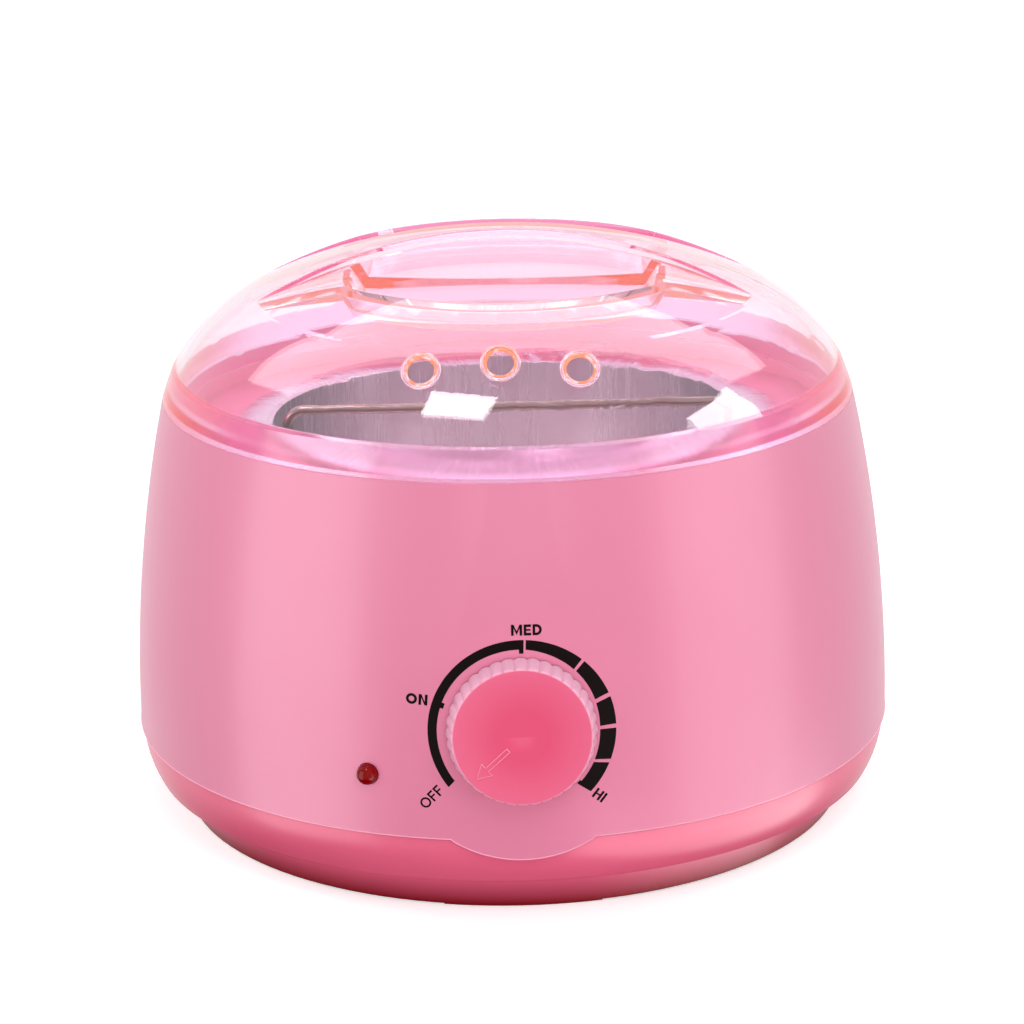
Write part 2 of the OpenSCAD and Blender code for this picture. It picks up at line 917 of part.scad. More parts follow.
module control_knob() {
    dish = 0.3;
    dish_reach = knob_r - knob_taper - 1.2;
    dish_r = (dish_reach ^ 2 + dish ^ 2) / (2 * dish);
    hub_r = spindle_r + 2.2;
    bore_r = spindle_r + screw_gap;
    color("#ee5f88")
    at_wall(dial_z)
        difference() {
            union() {
                difference() {
                    intersection() {
                        fluted_cone();
                        rotate_extrude()
                            knob_limit();
                    }
                    translate([0, 0, knob_h - dish + dish_r])
                        sphere(r = dish_r, $fn = fine);
                    // Hollow back round the hub
                    translate([0, 0, -1])
                        difference() {
                            cylinder(r = knob_r - flute_r - knob_wall, h = knob_h - dish - knob_wall + 1);
                            cylinder(r = hub_r, h = knob_h);
                        }
                }
                translate([0, 0, knob_h - dish - 0.2])
                    linear_extrude(dish + arrow_rise)
                        rotate(arrow_angle)
                            arrow();
            }
            // Hole with a flat, over the end of the spindle
            intersection() {
                cylinder(r = bore_r, h = spindle_out + 0.2);
                translate([-far / 2, -far / 2, 0])
                    cube([far, far / 2 + bore_r - spindle_flat, far]);
            }
        }
}

module thermostat_spindle() {
    flat_from = knob_gap;
    color(silver)
    at_wall(dial_z)
        difference() {
            translate([0, 0, spindle_in])
                cylinder(r = spindle_r, h = spindle_out - spindle_in);
            translate([-spindle_d, spindle_r - spindle_flat, flat_from - 0.2])
                cube([2 * spindle_d, spindle_d, spindle_out]);
        }
}

module thermostat_bush() {
    color("#c8a85a")
    at_wall(dial_z)
        translate([0, 0, plate_u])
            difference() {
                cylinder(r = bush_r, h = -plate_u - wall - 0.8);
                translate([0, 0, -1])
                    cylinder(r = spindle_r + run_gap, h = 20);
            }
}

module thermostat_nut() {
    color(silver)
    at_wall(dial_z)
        translate([0, 0, plate_u + bracket_t])
            difference() {
                cylinder(r = bush_r + 2.8, h = nut_h, $fn = 6);
                translate([0, 0, -1])
                    cylinder(r = bush_r + screw_gap, h = nut_h + 2);
            }
}

module thermostat_body() {
    shoulder_h = 4;
    lug_w = 4;
    color("#efe9dd")
    at_wall(dial_z)
        difference() {
            union() {
                translate([-block.x / 2, -block.y / 2, block_u])
                    cube([block.x, block.y, block.z - shoulder_h]);
                translate([-block.x / 2 + 2, -block.y / 2 + 2, block_u])
                    cube([block.x - 4, block.y - 4, block.z]);
                for (side = [-1, 1])
                    translate([side * block.x / 4 - lug_w / 2, -block.y / 2 - 3, block_u + 3])
                        cube([lug_w, 4, 1]);
            }
            translate([0, 0, spindle_in - 1])
                cylinder(r = spindle_r + push_gap, h = far);
        }
}

// Bimetal blade on the back of the block, towards the heat, with its two rivets
module thermostat_blade() {
    blade = [6, 20, 0.7];
    color("#b58f5a")
    at_wall(dial_z)
        translate([0, 0, block_u - blade.z]) {
            translate([-blade.x / 2, -blade.y / 2, 0])
                cube(blade);
            for (side = [-1, 1])
                translate([0, side * blade.y / 3, -0.8])
                    cylinder(r = 1.6, h = 1);
        }
}

module thermostat_bracket() {
    end_r = 5.6;
    color(silver)
    at_wall(dial_z)
        translate([0, 0, plate_u])
            linear_extrude(bracket_t)
                difference() {
                    union() {
                        square([2 * bracket_x, 2 * end_r - 1], center = true);
                        circle(r = bracket_eye);
                        for (side = [-1, 1])
                            translate([side * bracket_x, 0])
                                circle(r = end_r);
                    }
                    circle(r = bush_r + screw_gap);
                    for (side = [-1, 1])
                        translate([side * bracket_x, 0])
                            circle(r = small_screw.x + push_gap);
                }
}

module bracket_screws() {
    color(silver)
    at_wall(dial_z)
        for (side = [-1, 1])
            translate([side * bracket_x, 0, plate_u])
                cross_screw(small_screw, -plate_u - wall - 2);
}

module indicator_lens() {
    stem = 0.5;
    color("#8a0f14")
    at_wall(lens_z, -lens_angle)
        rotate_extrude() {
            translate([0, -wall - lens_flange.y - push_gap])
                square([lens_flange.x, lens_flange.y]);
            translate([0, -wall - push_gap - eps])
                square([lens_r, wall + push_gap + stem + eps]);
            intersection() {
                translate([0, stem])
                    circle(r = lens_r);
                translate([0, stem])
                    square(lens_d);
            }
        }
}

// Neon lamp: a short glass tube that closes in a point towards the rear
module pilot_lamp() {
    front = lamp_front;
    glass_r = lens_r - 0.2;
    color("#e9b9a0")
    at_wall(lens_z, -lens_angle)
        rotate_extrude()
            polygon([
                [0, front], [glass_r, front], [glass_r, front - lamp_l + 2],
                [0.8, front - lamp_l], [0, front - lamp_l]
            ]);
}

module lamp_holder() {
    color("#e7dcd6")
    at_wall(lens_z, -lens_angle)
        translate([0, 0, lamp_front - lamp_l + 1])
            difference() {
                cylinder(r = lens_flange.x, h = lamp_l - 1);
                translate([0, 0, -1])
                    cylinder(r = lens_r, h = lamp_l + 2);
            }
}

module terminal_block() {
    color("#f2efe6")
    translate([0, terminal_y, floor_top])
        difference() {
            union() {
                translate([-terminal.x / 2, -terminal.y / 2, 0])
                    cube([terminal.x, terminal.y, terminal.z * 0.6]);
                for (side = [-1, 1])
                    translate([side * terminal_pitch / 2 - terminal_cell / 2, -terminal.y / 2, 0])
                        cube([terminal_cell, terminal.y, terminal.z]);
            }
            for (side = [-1, 1]) {
                translate([side * terminal_pitch / 2, 0, terminal_hole])
                    rotate([90, 0, 0])
                        cylinder(r = 2, h = 2 * terminal.y, center = true);
                for (end = [-1, 1])
                    translate([side * terminal_pitch / 2, end * terminal.y / 4, terminal_hole])
                        cylinder(r = small_screw.y + screw_gap, h = terminal.z);
            }
        }
}

module terminal_screws() {
    length = terminal.z / 2;
    slot = [2.5 * small_screw.y, 0.8, 1];
    color("#c8a85a")
    for (side = [-1, 1], end = [-1, 1])
        translate([
            side * terminal_pitch / 2, terminal_y + end * terminal.y / 4,
            floor_top + terminal_hole + push_gap
        ])
            difference() {
                cylinder(r = small_screw.y, h = length);
                translate([-slot.x / 2, -slot.y / 2, length - slot.z])
                    cube([slot.x, slot.y, 2 * slot.z]);
            }
}

module cord_grommet() {
    length = inlet_out - inlet_in + grommet_flange.y + grommet_nose;
    color("#e7a1b6")
    translate([0, inlet_in - grommet_flange.y, inlet_z])
        rotate([-90, 0, 0])
            difference() {
                union() {
                    cylinder(r = grommet_flange.x, h = grommet_flange.y);
                    cylinder(r = grommet_neck, h = length);
                    translate([0, 0, length - grommet_nose])
                        cylinder(r = grommet_flange.x, h = grommet_nose);
                }
                translate([0, 0, -1])
                    cylinder(r = inlet_r, h = length + 2);
            }
}

module cord_clamp() {
    color("#f2efe6")
    translate([0, clamp_y, clamp_z])
        difference() {
            translate([-clamp_bar.x / 2, -clamp_bar.y / 2, 0])
                cube(clamp_bar);
            for (side = [-1, 1])
                translate([side * clamp_x, 0, -1])
                    cylinder(r = small_screw.x + push_gap, h = clamp_bar.z + 2);
        }
}

module cord_clamp_screws() {
    color(silver)
    for (side = [-1, 1])
        translate([side * clamp_x, clamp_y, clamp_z + clamp_bar.z])
            rotate([180, 0, 0])
                cross_screw(small_screw, clamp_bar.z + clamp_hole - 1);
}

// Points on a smooth curve through a route
function curve_point(p, i, t) =
    let (
        last = len(p) - 1,
        a = p[max(i - 1, 0)],
        b = p[i],
        c = p[i + 1],
        d = p[min(i + 2, last)]
    )
    0.5 * (2 * b + (c - a) * t + (2 * a - 5 * b + 4 * c - d) * t ^ 2 + (3 * b - a - 3 * c + d) * t ^ 3);
function curve(p, steps) = [
    for (i = [0:len(p) - 2], s = [0:steps - 1]) curve_point(p, i, s / steps),
    p[len(p) - 1]
];
function unit(v) = v / norm(v);

// Insulated lead swept along a route
module lead(route) {
    p = curve(route, 3);
    n = len(p);
    s = lead_sides;
    side_hint = [0.31, 0.52, 0.79];
    rings = [
        for (i = [0:n - 1])
            let (
                t = unit(p[min(i + 1, n - 1)] - p[max(i - 1, 0)]),
                u = unit(cross(t, side_hint)),
                v = cross(t, u)
            )
            for (k = [0:s - 1])
                p[i] + lead_r * (cos(k * 360 / s) * u + sin(k * 360 / s) * v)
    ];
    sides = [
        for (i = [0:n - 2], k = [0:s - 1])
            let (a = i * s + k, b = i * s + (k + 1) % s)
            each [[a, b + s, b], [a, a + s, b + s]]
    ];
    ends = [
        for (k = [1:s - 2])
            each [[0, k, k + 1], [(n - 1) * s, (n - 1) * s + k + 1, (n - 1) * s + k]]
    ];
    polyhedron(points = rings, faces = concat(sides, ends));
}

// Place of a point that is given in the frame of at_wall
function wall_point(z, angle, p) =
    let (
        tilt = wall_tilt(z),
        y = p.y * sin(tilt) - p.z * cos(tilt) - wall_r(z)
    )
    [
        p.x * cos(angle) - y * sin(angle),
        p.x * sin(angle) + y * cos(angle),
        z + p.y * cos(tilt) + p.z * sin(tilt)
    ];

// Leads from the terminal block, under the well, to each user
module lead_wires() {
    gap = push_gap;
    low = floor_top + lead_r + 2.5;
    block_z = floor_top + terminal_hole;
    front_y = terminal_y - terminal.y / 2 - gap;
    left = -terminal_pitch / 2;
    apart = 1.4;
    tab_x = heater_r + band_t / 2;
    inner_x = tab_x - 8;
    tab_z = heater_mid - band_h / 2 - heater_tab.z - gap;
    tab_y = tab_x * sin(heater_gap_angle);
    fuse_x = fuse_l / 2 + gap;
    stat_left = wall_point(dial_z, 0, [-block.x / 4, -block.y / 2 - 3 - gap, block_u + 3.5]);
    stat_right = wall_point(dial_z, 0, [block.x / 4, -block.y / 2 - 3 - gap, block_u + 3.5]);
    color("#d8d4d0") {
        lead([
            [left + apart, front_y, block_z], [left + apart, front_y - 5, low + 0.5], [-7, 14, low],
            [-11, -8, low], [-11, -38, low], stat_left - [1, -8, 12], stat_left - [0, 0, 4], stat_left
        ]);
        lead([
            stat_right, stat_right - [0, 0, 4], stat_right - [-1, -8, 12], [16, -36, low + 6],
            [24, -14, low + 12], [fuse_x + 5, -2, fuse_z - 1], [fuse_x, 0, fuse_z]
        ]);
        lead([
            [-fuse_x, 0, fuse_z], [-fuse_x - 6, 0, fuse_z - 1], [-36, -6, fuse_z - 4],
            [-inner_x, -9, fuse_z - 4], [-tab_x, -tab_y, fuse_z], [-tab_x, -tab_y, tab_z]
        ]);
        lead([
            [-tab_x, tab_y, tab_z], [-tab_x, tab_y + 3, fuse_z - 4], [-inner_x, 22, low + 10],
            [-34, 27, low + 3.5], [left - 8, front_y - 4.5, low + 1], [left - apart, front_y - 3, block_z],
            [left - apart, front_y, block_z]
        ]);
        for (k = [-1, 1])
            let (
                lamp_end = lamp_front - lamp_l - 2 * gap,
                lamp = wall_point(lens_z, -lens_angle, [k * 1.5, 0, lamp_end]),
                behind = wall_point(lens_z, -lens_angle, [k * 1.5, 0, lamp_end - 5])
            )
            lead([
                lamp, behind, [-20 + apart * k, -42, low + 11 + k],
                [-5 + apart * k, -20, low + 7 + k], [2 + apart * k, 4, low + 4 + k],
                [apart * k - left, front_y - 6, block_z], [apart * k - left, front_y, block_z]
            ]);
    }
}

upper_housing();
base_pan();
rubber_feet();
case_screws();
lid();
wax_pot();
pot_bail();
heating_well();
well_screws();
heater_band();
band_clamp();
band_clamp_screw();
thermal_fuse();
fuse_clip();
fuse_clip_screws();
control_knob();
thermostat_spindle();
thermostat_bush();
thermostat_nut();
thermostat_body();
thermostat_blade();
thermostat_bracket();
bracket_screws();
indicator_lens();
pilot_lamp();
lamp_holder();
terminal_block();
terminal_screws();
cord_grommet();
cord_clamp();
cord_clamp_screws();
lead_wires();
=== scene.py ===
import logging
import math
from collections.abc import Iterable, Sequence
from dataclasses import dataclass, field
from enum import Enum
from typing import ClassVar

import bmesh
import bpy
from mathutils import Matrix, Vector


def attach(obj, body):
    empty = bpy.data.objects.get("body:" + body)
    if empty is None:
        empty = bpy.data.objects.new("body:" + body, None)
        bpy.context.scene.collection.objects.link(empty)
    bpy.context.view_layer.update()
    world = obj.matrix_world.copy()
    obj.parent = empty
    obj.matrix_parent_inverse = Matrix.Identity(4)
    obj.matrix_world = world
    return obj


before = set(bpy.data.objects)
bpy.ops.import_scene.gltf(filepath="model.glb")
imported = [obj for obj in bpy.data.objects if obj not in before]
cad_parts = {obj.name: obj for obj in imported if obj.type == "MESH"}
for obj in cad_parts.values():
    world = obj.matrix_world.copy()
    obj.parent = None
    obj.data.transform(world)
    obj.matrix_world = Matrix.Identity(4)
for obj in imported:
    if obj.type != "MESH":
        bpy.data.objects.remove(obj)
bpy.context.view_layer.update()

LOG = logging.getLogger("wax_heater")
Colour = tuple[float, float, float]
Point = tuple[float, float]
Spot = tuple[float, float, float]
Ports = tuple[list[tuple], list[tuple]]
MM = 0.001
PLASTIC_IOR = 1.5
ACRYLIC_IOR = 1.49
BEVEL_SAMPLES = 4
LID_SKIRT_TOP = 108.4  # millimetres above the table


def tone(red: int, green: int, blue: int) -> Colour:
    """Linear colour of an sRGB display colour that is written from 0 to 255."""
    parts = [c / 255 for c in (red, green, blue)]
    return tuple(c / 12.92 if c <= 0.04045 else ((c + 0.055) / 1.055) ** 2.4 for c in parts)


class Body(Enum):
    """The bodies that new pieces ride on."""

    HOUSING = "housing"
    LID = "lid"
    KNOB = "knob"


class Grain(Enum):
    """Which way the grain of a metal runs: how fast it changes round, up and outwards, per metre."""

    UP_THE_WALL = (1500.0, 14.0, 14.0)
    ROUND = (18.0, 2200.0, 2200.0)
    ALL_WAYS = (900.0, 900.0, 900.0)


class Serves(Enum):
    """What a lamp is for: the light on surfaces, or what gloss and clear plastic show."""

    LIGHT = "light"
    GLOSS = "gloss"


class Graph:
    """Short calls that add and join the nodes of one shader tree."""

    def __init__(self, tree: bpy.types.NodeTree) -> None:
        """Keeps the tree and empties it."""
        self.tree = tree
        tree.nodes.clear()

    def add(self, kind: str, inputs: dict | None = None, **settings: object) -> bpy.types.Node:
        """Adds one node.

        Args:
            kind: the node's type, after the words that all shader nodes share.
            inputs: a value or a socket for each input, by name or number.
            settings: other attributes of the node.

        Returns:
            The new node.
        """
        node = self.tree.nodes.new(kind if kind.startswith("Node") else "ShaderNode" + kind)
        for key, value in settings.items():
            setattr(node, key, value)
        for key, value in (inputs or {}).items():
            self.feed(node.inputs[key], value)
        return node

    def feed(self, socket: bpy.types.NodeSocket, value: object) -> None:
        """Joins a socket to an input, or sets the input's own value."""
        if isinstance(value, bpy.types.NodeSocket):
            self.tree.links.new(value, socket)
        elif socket.type == "RGBA" and len(value) == 3:
            socket.default_value = (*value, 1.0)
        else:
            socket.default_value = value

    def math(self, operation: str, *values: object) -> bpy.types.NodeSocket:
        """Puts values or sockets through one math step."""
        return self.add("Math", dict(enumerate(values)), operation=operation).outputs[0]

    def spread(
        self, value: object, low: object, high: object, start: float = 0.0, end: float = 1.0
    ) -> bpy.types.NodeSocket:
        """Maps low to high onto start to end, and holds it there."""
        inputs = {"Value": value, "From Min": low, "From Max": high, "To Min": start, "To Max": end}
        return self.add("MapRange", inputs).outputs[0]

    def blend(self, factor: object, first: object, second: object) -> bpy.types.NodeSocket:
        """Mixes two colours, by the colour sockets of a Mix node."""
        node = self.add("Mix", data_type="RGBA")
        for number, value in ((0, factor), (6, first), (7, second)):
            self.feed(node.inputs[number], value)
        return node.outputs[2]

    def noise(self, vector: object, scale: object, detail: float = 2.0) -> bpy.types.NodeSocket:
        """Even noise over a vector."""
        inputs = {"Vector": vector, "Scale": scale, "Detail": detail, "Roughness": 0.5}
        return self.add("TexNoise", inputs).outputs[0]

    def spot(self) -> bpy.types.NodeSocket:
        """Place on the piece, in metres."""
        return self.add("TexCoord").outputs["Object"]

    def axes(self, vector: bpy.types.NodeSocket) -> list[bpy.types.NodeSocket]:
        """The three numbers of a vector."""
        return self.add("SeparateXYZ", {0: vector}).outputs[:3]

    def relief(self, edge: float, strength: float, depth: float, height: object) -> bpy.types.NodeSocket:
        """Rounds the edges in the light and adds a fine relief.

        Args:
            edge: radius of the rounding, in millimetres.
            strength: how much of the relief shows, from 0 to 1.
            depth: how deep the relief is, in millimetres.
            height: where it is high.

        Returns:
            The normal.
        """
        edges = self.add("Bevel", {"Radius": edge * MM}, samples=BEVEL_SAMPLES).outputs[0]
        inputs = {"Strength": strength, "Distance": depth * MM, "Height": height, "Normal": edges}
        return self.add("Bump", inputs).outputs[0]


COLOUR_IN = ("Color", "NodeSocketColor", (0.8, 0.8, 0.8, 1.0))
COLOUR_OUT = ("Color", "NodeSocketColor")
SURFACE_OUT = [COLOUR_OUT, ("Roughness", "NodeSocketFloat"), ("Height", "NodeSocketFloat")]


@dataclass(frozen=True)
class Effect:
    """A shader node group that several finishes share."""

    name: str

    def ports(self) -> Ports:
        """The inputs (name, socket kind, value) and the outputs (name, socket kind)."""
        raise NotImplementedError

    def wire(self, graph: Graph, given: bpy.types.Node, out: bpy.types.Node) -> None:
        """Joins the nodes of the group."""
        raise NotImplementedError

    def tree(self) -> bpy.types.NodeTree:
        """The group itself, made the first time that it is asked for."""
        known = bpy.data.node_groups.get(self.name)
        if known:
            return known
        made = bpy.data.node_groups.new(self.name, "ShaderNodeTree")
        inputs, outputs = self.ports()
        for name, kind, value in inputs:
            made.interface.new_socket(name, in_out="INPUT", socket_type=kind).default_value = value
        for name, kind in outputs:
            made.interface.new_socket(name, in_out="OUTPUT", socket_type=kind)
        graph = Graph(made)
        self.wire(graph, graph.add("NodeGroupInput"), graph.add("NodeGroupOutput"))
        return made

    def place(self, graph: Graph, inputs: dict) -> bpy.types.Node:
        """Puts the group into a material.

        Args:
            graph: the material's tree.
            inputs: values for the group's inputs, by name.

        Returns:
            The group node.
        """
        node = graph.add("Group", node_tree=self.tree())
        for key, value in inputs.items():
            graph.feed(node.inputs[key], value)
        return node


class PaintedShadeBelow(Effect):
    """Painted shade: colour that grows deeper and duller down towards the bottom, where the light barely
    reaches.
    """

    def ports(self) -> Ports:
        """The colours and the heights, in metres."""
        return (
            [
                COLOUR_IN,
                ("Deep", "NodeSocketColor", (0.4, 0.4, 0.4, 1.0)),
                ("High", "NodeSocketFloat", 0.01),
                ("Low", "NodeSocketFloat", 0.0),
            ],
            [COLOUR_OUT, ("Share", "NodeSocketFloat")],
        )

    def wire(self, graph: Graph, given: bpy.types.Node, out: bpy.types.Node) -> None:
        """Blends to the painted shade by the height on the piece, and gives the share of the unshaded
        colour.
        """
        height = graph.axes(graph.spot())[2]
        share = graph.spread(height, given.outputs["Low"], given.outputs["High"])
        graph.feed(out.inputs["Color"], graph.blend(share, given.outputs["Deep"], given.outputs["Color"]))
        graph.feed(out.inputs["Share"], share)


class MouldedSkin(Effect):
    """Slow drift of colour, small changes of gloss and a fine skin, as on moulded parts."""

    SLOW: ClassVar[float] = 26.0
    DEEPER: ClassVar[dict[str, float]] = {"Saturation": 1.12, "Value": 0.86}
    DRIFT_SPAN: ClassVar[Point] = (0.3, 0.75)
    GLOSS_SPAN: ClassVar[tuple[float, ...]] = (0.3, 0.7, 0.92, 1.1)

    def ports(self) -> Ports:
        """The base colour and how strong each effect is."""
        return (
            [
                COLOUR_IN,
                ("Drift", "NodeSocketFloat", 0.05),
                ("Roughness", "NodeSocketFloat", 0.4),
                ("Skin Size", "NodeSocketFloat", 900.0),
            ],
            SURFACE_OUT,
        )

    def wire(self, graph: Graph, given: bpy.types.Node, out: bpy.types.Node) -> None:
        """Joins two sizes of noise to colour, gloss and height."""
        place = graph.spot()
        slow = graph.noise(place, self.SLOW, 3.0)
        fine = graph.noise(place, given.outputs["Skin Size"])
        deep = graph.add("HueSaturation", {**self.DEEPER, "Color": given.outputs["Color"]})
        share = graph.math("MULTIPLY", graph.spread(slow, *self.DRIFT_SPAN), given.outputs["Drift"])
        graph.feed(out.inputs["Color"], graph.blend(share, given.outputs["Color"], deep.outputs[0]))
        gloss = graph.math("MULTIPLY", graph.spread(slow, *self.GLOSS_SPAN), given.outputs["Roughness"])
        graph.feed(out.inputs["Roughness"], gloss)
        graph.feed(out.inputs["Height"], fine)


class MetalGrain(Effect):
    """Fine streaks of a spun, drawn or rolled metal, counted round the upright axis."""

    REACH: ClassVar[float] = 0.057  # radius at which a turn counts as a length, in metres
    BROAD: ClassVar[float] = 0.06
    STREAK_SPAN: ClassVar[Point] = (0.36, 0.64)
    DARKER: ClassVar[float] = 0.72
    ROUGH_SPAN: ClassVar[Point] = (0.75, 1.35)

    def ports(self) -> Ports:
        """The base colour, the stretch of the streaks and their strength."""
        return (
            [
                COLOUR_IN,
                ("Roughness", "NodeSocketFloat", 0.3),
                ("Stretch", "NodeSocketVector", (900.0, 900.0, 900.0)),
                ("Strength", "NodeSocketFloat", 0.3),
            ],
            SURFACE_OUT,
        )

    def wire(self, graph: Graph, given: bpy.types.Node, out: bpy.types.Node) -> None:
        """Joins stretched noise to colour, gloss and height."""
        x, y, z = graph.axes(graph.spot())
        square = graph.math("ADD", graph.math("MULTIPLY", x, x), graph.math("MULTIPLY", y, y))
        reach = graph.math("SQRT", square)
        turn = graph.math("MULTIPLY", graph.math("ARCTAN2", y, x), self.REACH)
        wound = graph.add("CombineXYZ", {0: turn, 1: z, 2: reach}).outputs[0]
        inputs = {0: wound, 1: given.outputs["Stretch"]}
        grain = graph.add("VectorMath", inputs, operation="MULTIPLY").outputs[0]
        fine = graph.noise(grain, 1.0)
        broad = graph.noise(grain, self.BROAD, 1.0)
        both = graph.math("ADD", graph.math("MULTIPLY", fine, 0.5), graph.math("MULTIPLY", broad, 0.5))
        streak = graph.spread(both, *self.STREAK_SPAN)
        dark = graph.add("HueSaturation", {"Value": self.DARKER, "Color": given.outputs["Color"]})
        share = graph.math("MULTIPLY", streak, given.outputs["Strength"])
        graph.feed(out.inputs["Color"], graph.blend(share, given.outputs["Color"], dark.outputs[0]))
        uneven = graph.spread(streak, 0.0, 1.0, *self.ROUGH_SPAN)
        graph.feed(out.inputs["Roughness"], graph.math("MULTIPLY", given.outputs["Roughness"], uneven))
        graph.feed(out.inputs["Height"], fine)


PAINTED_SHADE_BELOW = PaintedShadeBelow("painted_shade_below")
SKIN = MouldedSkin("moulded_skin")
GRAIN = MetalGrain("metal_grain")


@dataclass(frozen=True)
class Finish:
    """One surface finish; its material is made the first time that it is asked for."""

    name: str
    colour: Colour

    def wire(self, graph: Graph) -> bpy.types.NodeSocket:
        """Joins the material's nodes and returns the surface."""
        raise NotImplementedError

    def material(self) -> bpy.types.Material:
        """The finish as a material."""
        known = bpy.data.materials.get("finish_" + self.name)
        if known:
            return known
        made = bpy.data.materials.new("finish_" + self.name)
        made.use_nodes = True
        made.diffuse_color = (*self.colour, 1.0)
        graph = Graph(made.node_tree)
        surface = self.wire(graph)
        graph.add("OutputMaterial", {"Surface": surface})
        return made


@dataclass(frozen=True)
class PaintedRimHighlight:
    """Painted highlight: paler colours far from an axis, such as on the face and the flutes of a knob where
    they catch the light from above, in millimetres.
    """

    centre: Spot
    axis: Spot
    steps: tuple[tuple[Colour, float, float], ...]

    def wire(self, graph: Graph, colour: object) -> object:
        """Blends a colour to each paler, painted-highlight one between its two distances from the axis."""
        start = tuple(c * MM for c in self.centre)
        offset = graph.add("VectorMath", {0: graph.spot(), 1: start}, operation="SUBTRACT").outputs[0]
        across = graph.add("VectorMath", {0: offset, 1: self.axis}, operation="CROSS_PRODUCT").outputs[0]
        reach = graph.add("VectorMath", {0: across}, operation="LENGTH").outputs["Value"]
        for paler, near, far in self.steps:
            colour = graph.blend(graph.spread(reach, near * MM, far * MM), colour, paler)
        return colour


@dataclass(frozen=True)
class Moulded(Finish):
    """Moulded plastic or rubber with rounded edges and a fine skin; depths and heights in millimetres."""

    SKIN_SHOWS: ClassVar[float] = 0.25
    roughness: float = 0.4
    drift: float = 0.08
    skin_size: float = 1100.0
    skin_depth: float = 0.004
    coat: float = 0.0
    coat_roughness: float = 0.12
    edge: float = 0.4
    gloss: float = 0.5
    # Painted shade: deep is the colour that the plastic darkens to towards the bottom, between the two
    # heights of the next line.
    deep: Colour | None = None
    painted_shade_from: Point = (0.0, 10.0)
    # Painted highlight: paler away from an axis.
    painted_highlight: PaintedRimHighlight | None = None

    def wire(self, graph: Graph) -> bpy.types.NodeSocket:
        """Plastic: the skin gives colour, gloss and bump, and edges are rounded in the light."""
        colour: object = self.colour
        coat: object = self.coat
        # Painted shade towards the bottom; the coat fades out with it, so the shaded foot shows less gloss.
        if self.deep:
            low, high = (z * MM for z in self.painted_shade_from)
            below = PAINTED_SHADE_BELOW.place(graph, {"Color": self.colour, "Deep": self.deep, "High": high, "Low": low})
            colour = below.outputs["Color"]
            coat = graph.math("MULTIPLY", below.outputs["Share"], self.coat)
        # Painted highlight, paler away from an axis.
        if self.painted_highlight:
            colour = self.painted_highlight.wire(graph, colour)
        skin = SKIN.place(
            graph,
            {
                "Color": colour,
                "Drift": self.drift,
                "Roughness": self.roughness,
                "Skin Size": self.skin_size,
            },
        )
        normal = graph.relief(self.edge, self.SKIN_SHOWS, self.skin_depth, skin.outputs["Height"])
        shader = graph.add(
            "BsdfPrincipled",
            {
                "Base Color": skin.outputs["Color"],
                "Roughness": skin.outputs["Roughness"],
                "Normal": normal,
                "IOR": PLASTIC_IOR,
                "Coat Weight": coat,
                "Coat Roughness": self.coat_roughness,
                "Specular IOR Level": self.gloss,
            },
        )
        return shader.outputs[0]


@dataclass(frozen=True)
class Metal(Finish):
    """Metal with a grain."""

    GRAIN_SHOWS: ClassVar[float] = 0.3
    GRAIN_DEPTH: ClassVar[float] = 0.01
    roughness: float = 0.3
    grain: Grain = Grain.ALL_WAYS
    strength: float = 0.3
    edge: float = 0.25

    def wire(self, graph: Graph) -> bpy.types.NodeSocket:
        """Metal: the grain gives colour, gloss and bump."""
        grain = GRAIN.place(
            graph,
            {
                "Color": self.colour,
                "Roughness": self.roughness,
                "Stretch": self.grain.value,
                "Strength": self.strength,
            },
        )
        normal = graph.relief(self.edge, self.GRAIN_SHOWS, self.GRAIN_DEPTH, grain.outputs["Height"])
        shader = graph.add(
            "BsdfPrincipled",
            {
                "Base Color": grain.outputs["Color"],
                "Metallic": 1.0,
                "Roughness": grain.outputs["Roughness"],
                "Normal": normal,
            },
        )
        return shader.outputs[0]


@dataclass(frozen=True)
class PaintedGlow:
    """Painted glow: colour that clear plastic gives out as light where rays have bounced inside it many
    times, by the place, in millimetres.
    """

    dome: Colour
    pits: Colour
    skirt: Colour
    ends: Colour
    share: float = 0.85
    pit_low: float = 126.0
    pit_low_fade: float = 1.0
    pit_high: float = 133.0
    pit_high_fade: float = 2.0
    skirt_fade: float = 2.0
    ends_from: float = 62.0
    ends_fade: float = 14.0

    def wire(self, graph: Graph, place: bpy.types.NodeSocket) -> bpy.types.NodeSocket:
        """Blends the four painted glow colours by the height and by the distance to the sides."""
        x, _, z = graph.axes(place)
        above = graph.spread(z, (self.pit_low - self.pit_low_fade) * MM, self.pit_low * MM)
        below = graph.spread(z, (self.pit_high + self.pit_high_fade) * MM, self.pit_high * MM)
        upper = graph.blend(graph.math("MULTIPLY", above, below), self.dome, self.pits)
        aside = graph.math("ABSOLUTE", x)
        sideways = graph.spread(aside, self.ends_from * MM, (self.ends_from + self.ends_fade) * MM)
        lower = graph.blend(sideways, self.skirt, self.ends)
        low = graph.spread(z, (LID_SKIRT_TOP + self.skirt_fade) * MM, LID_SKIRT_TOP * MM)
        return graph.blend(low, upper, lower)


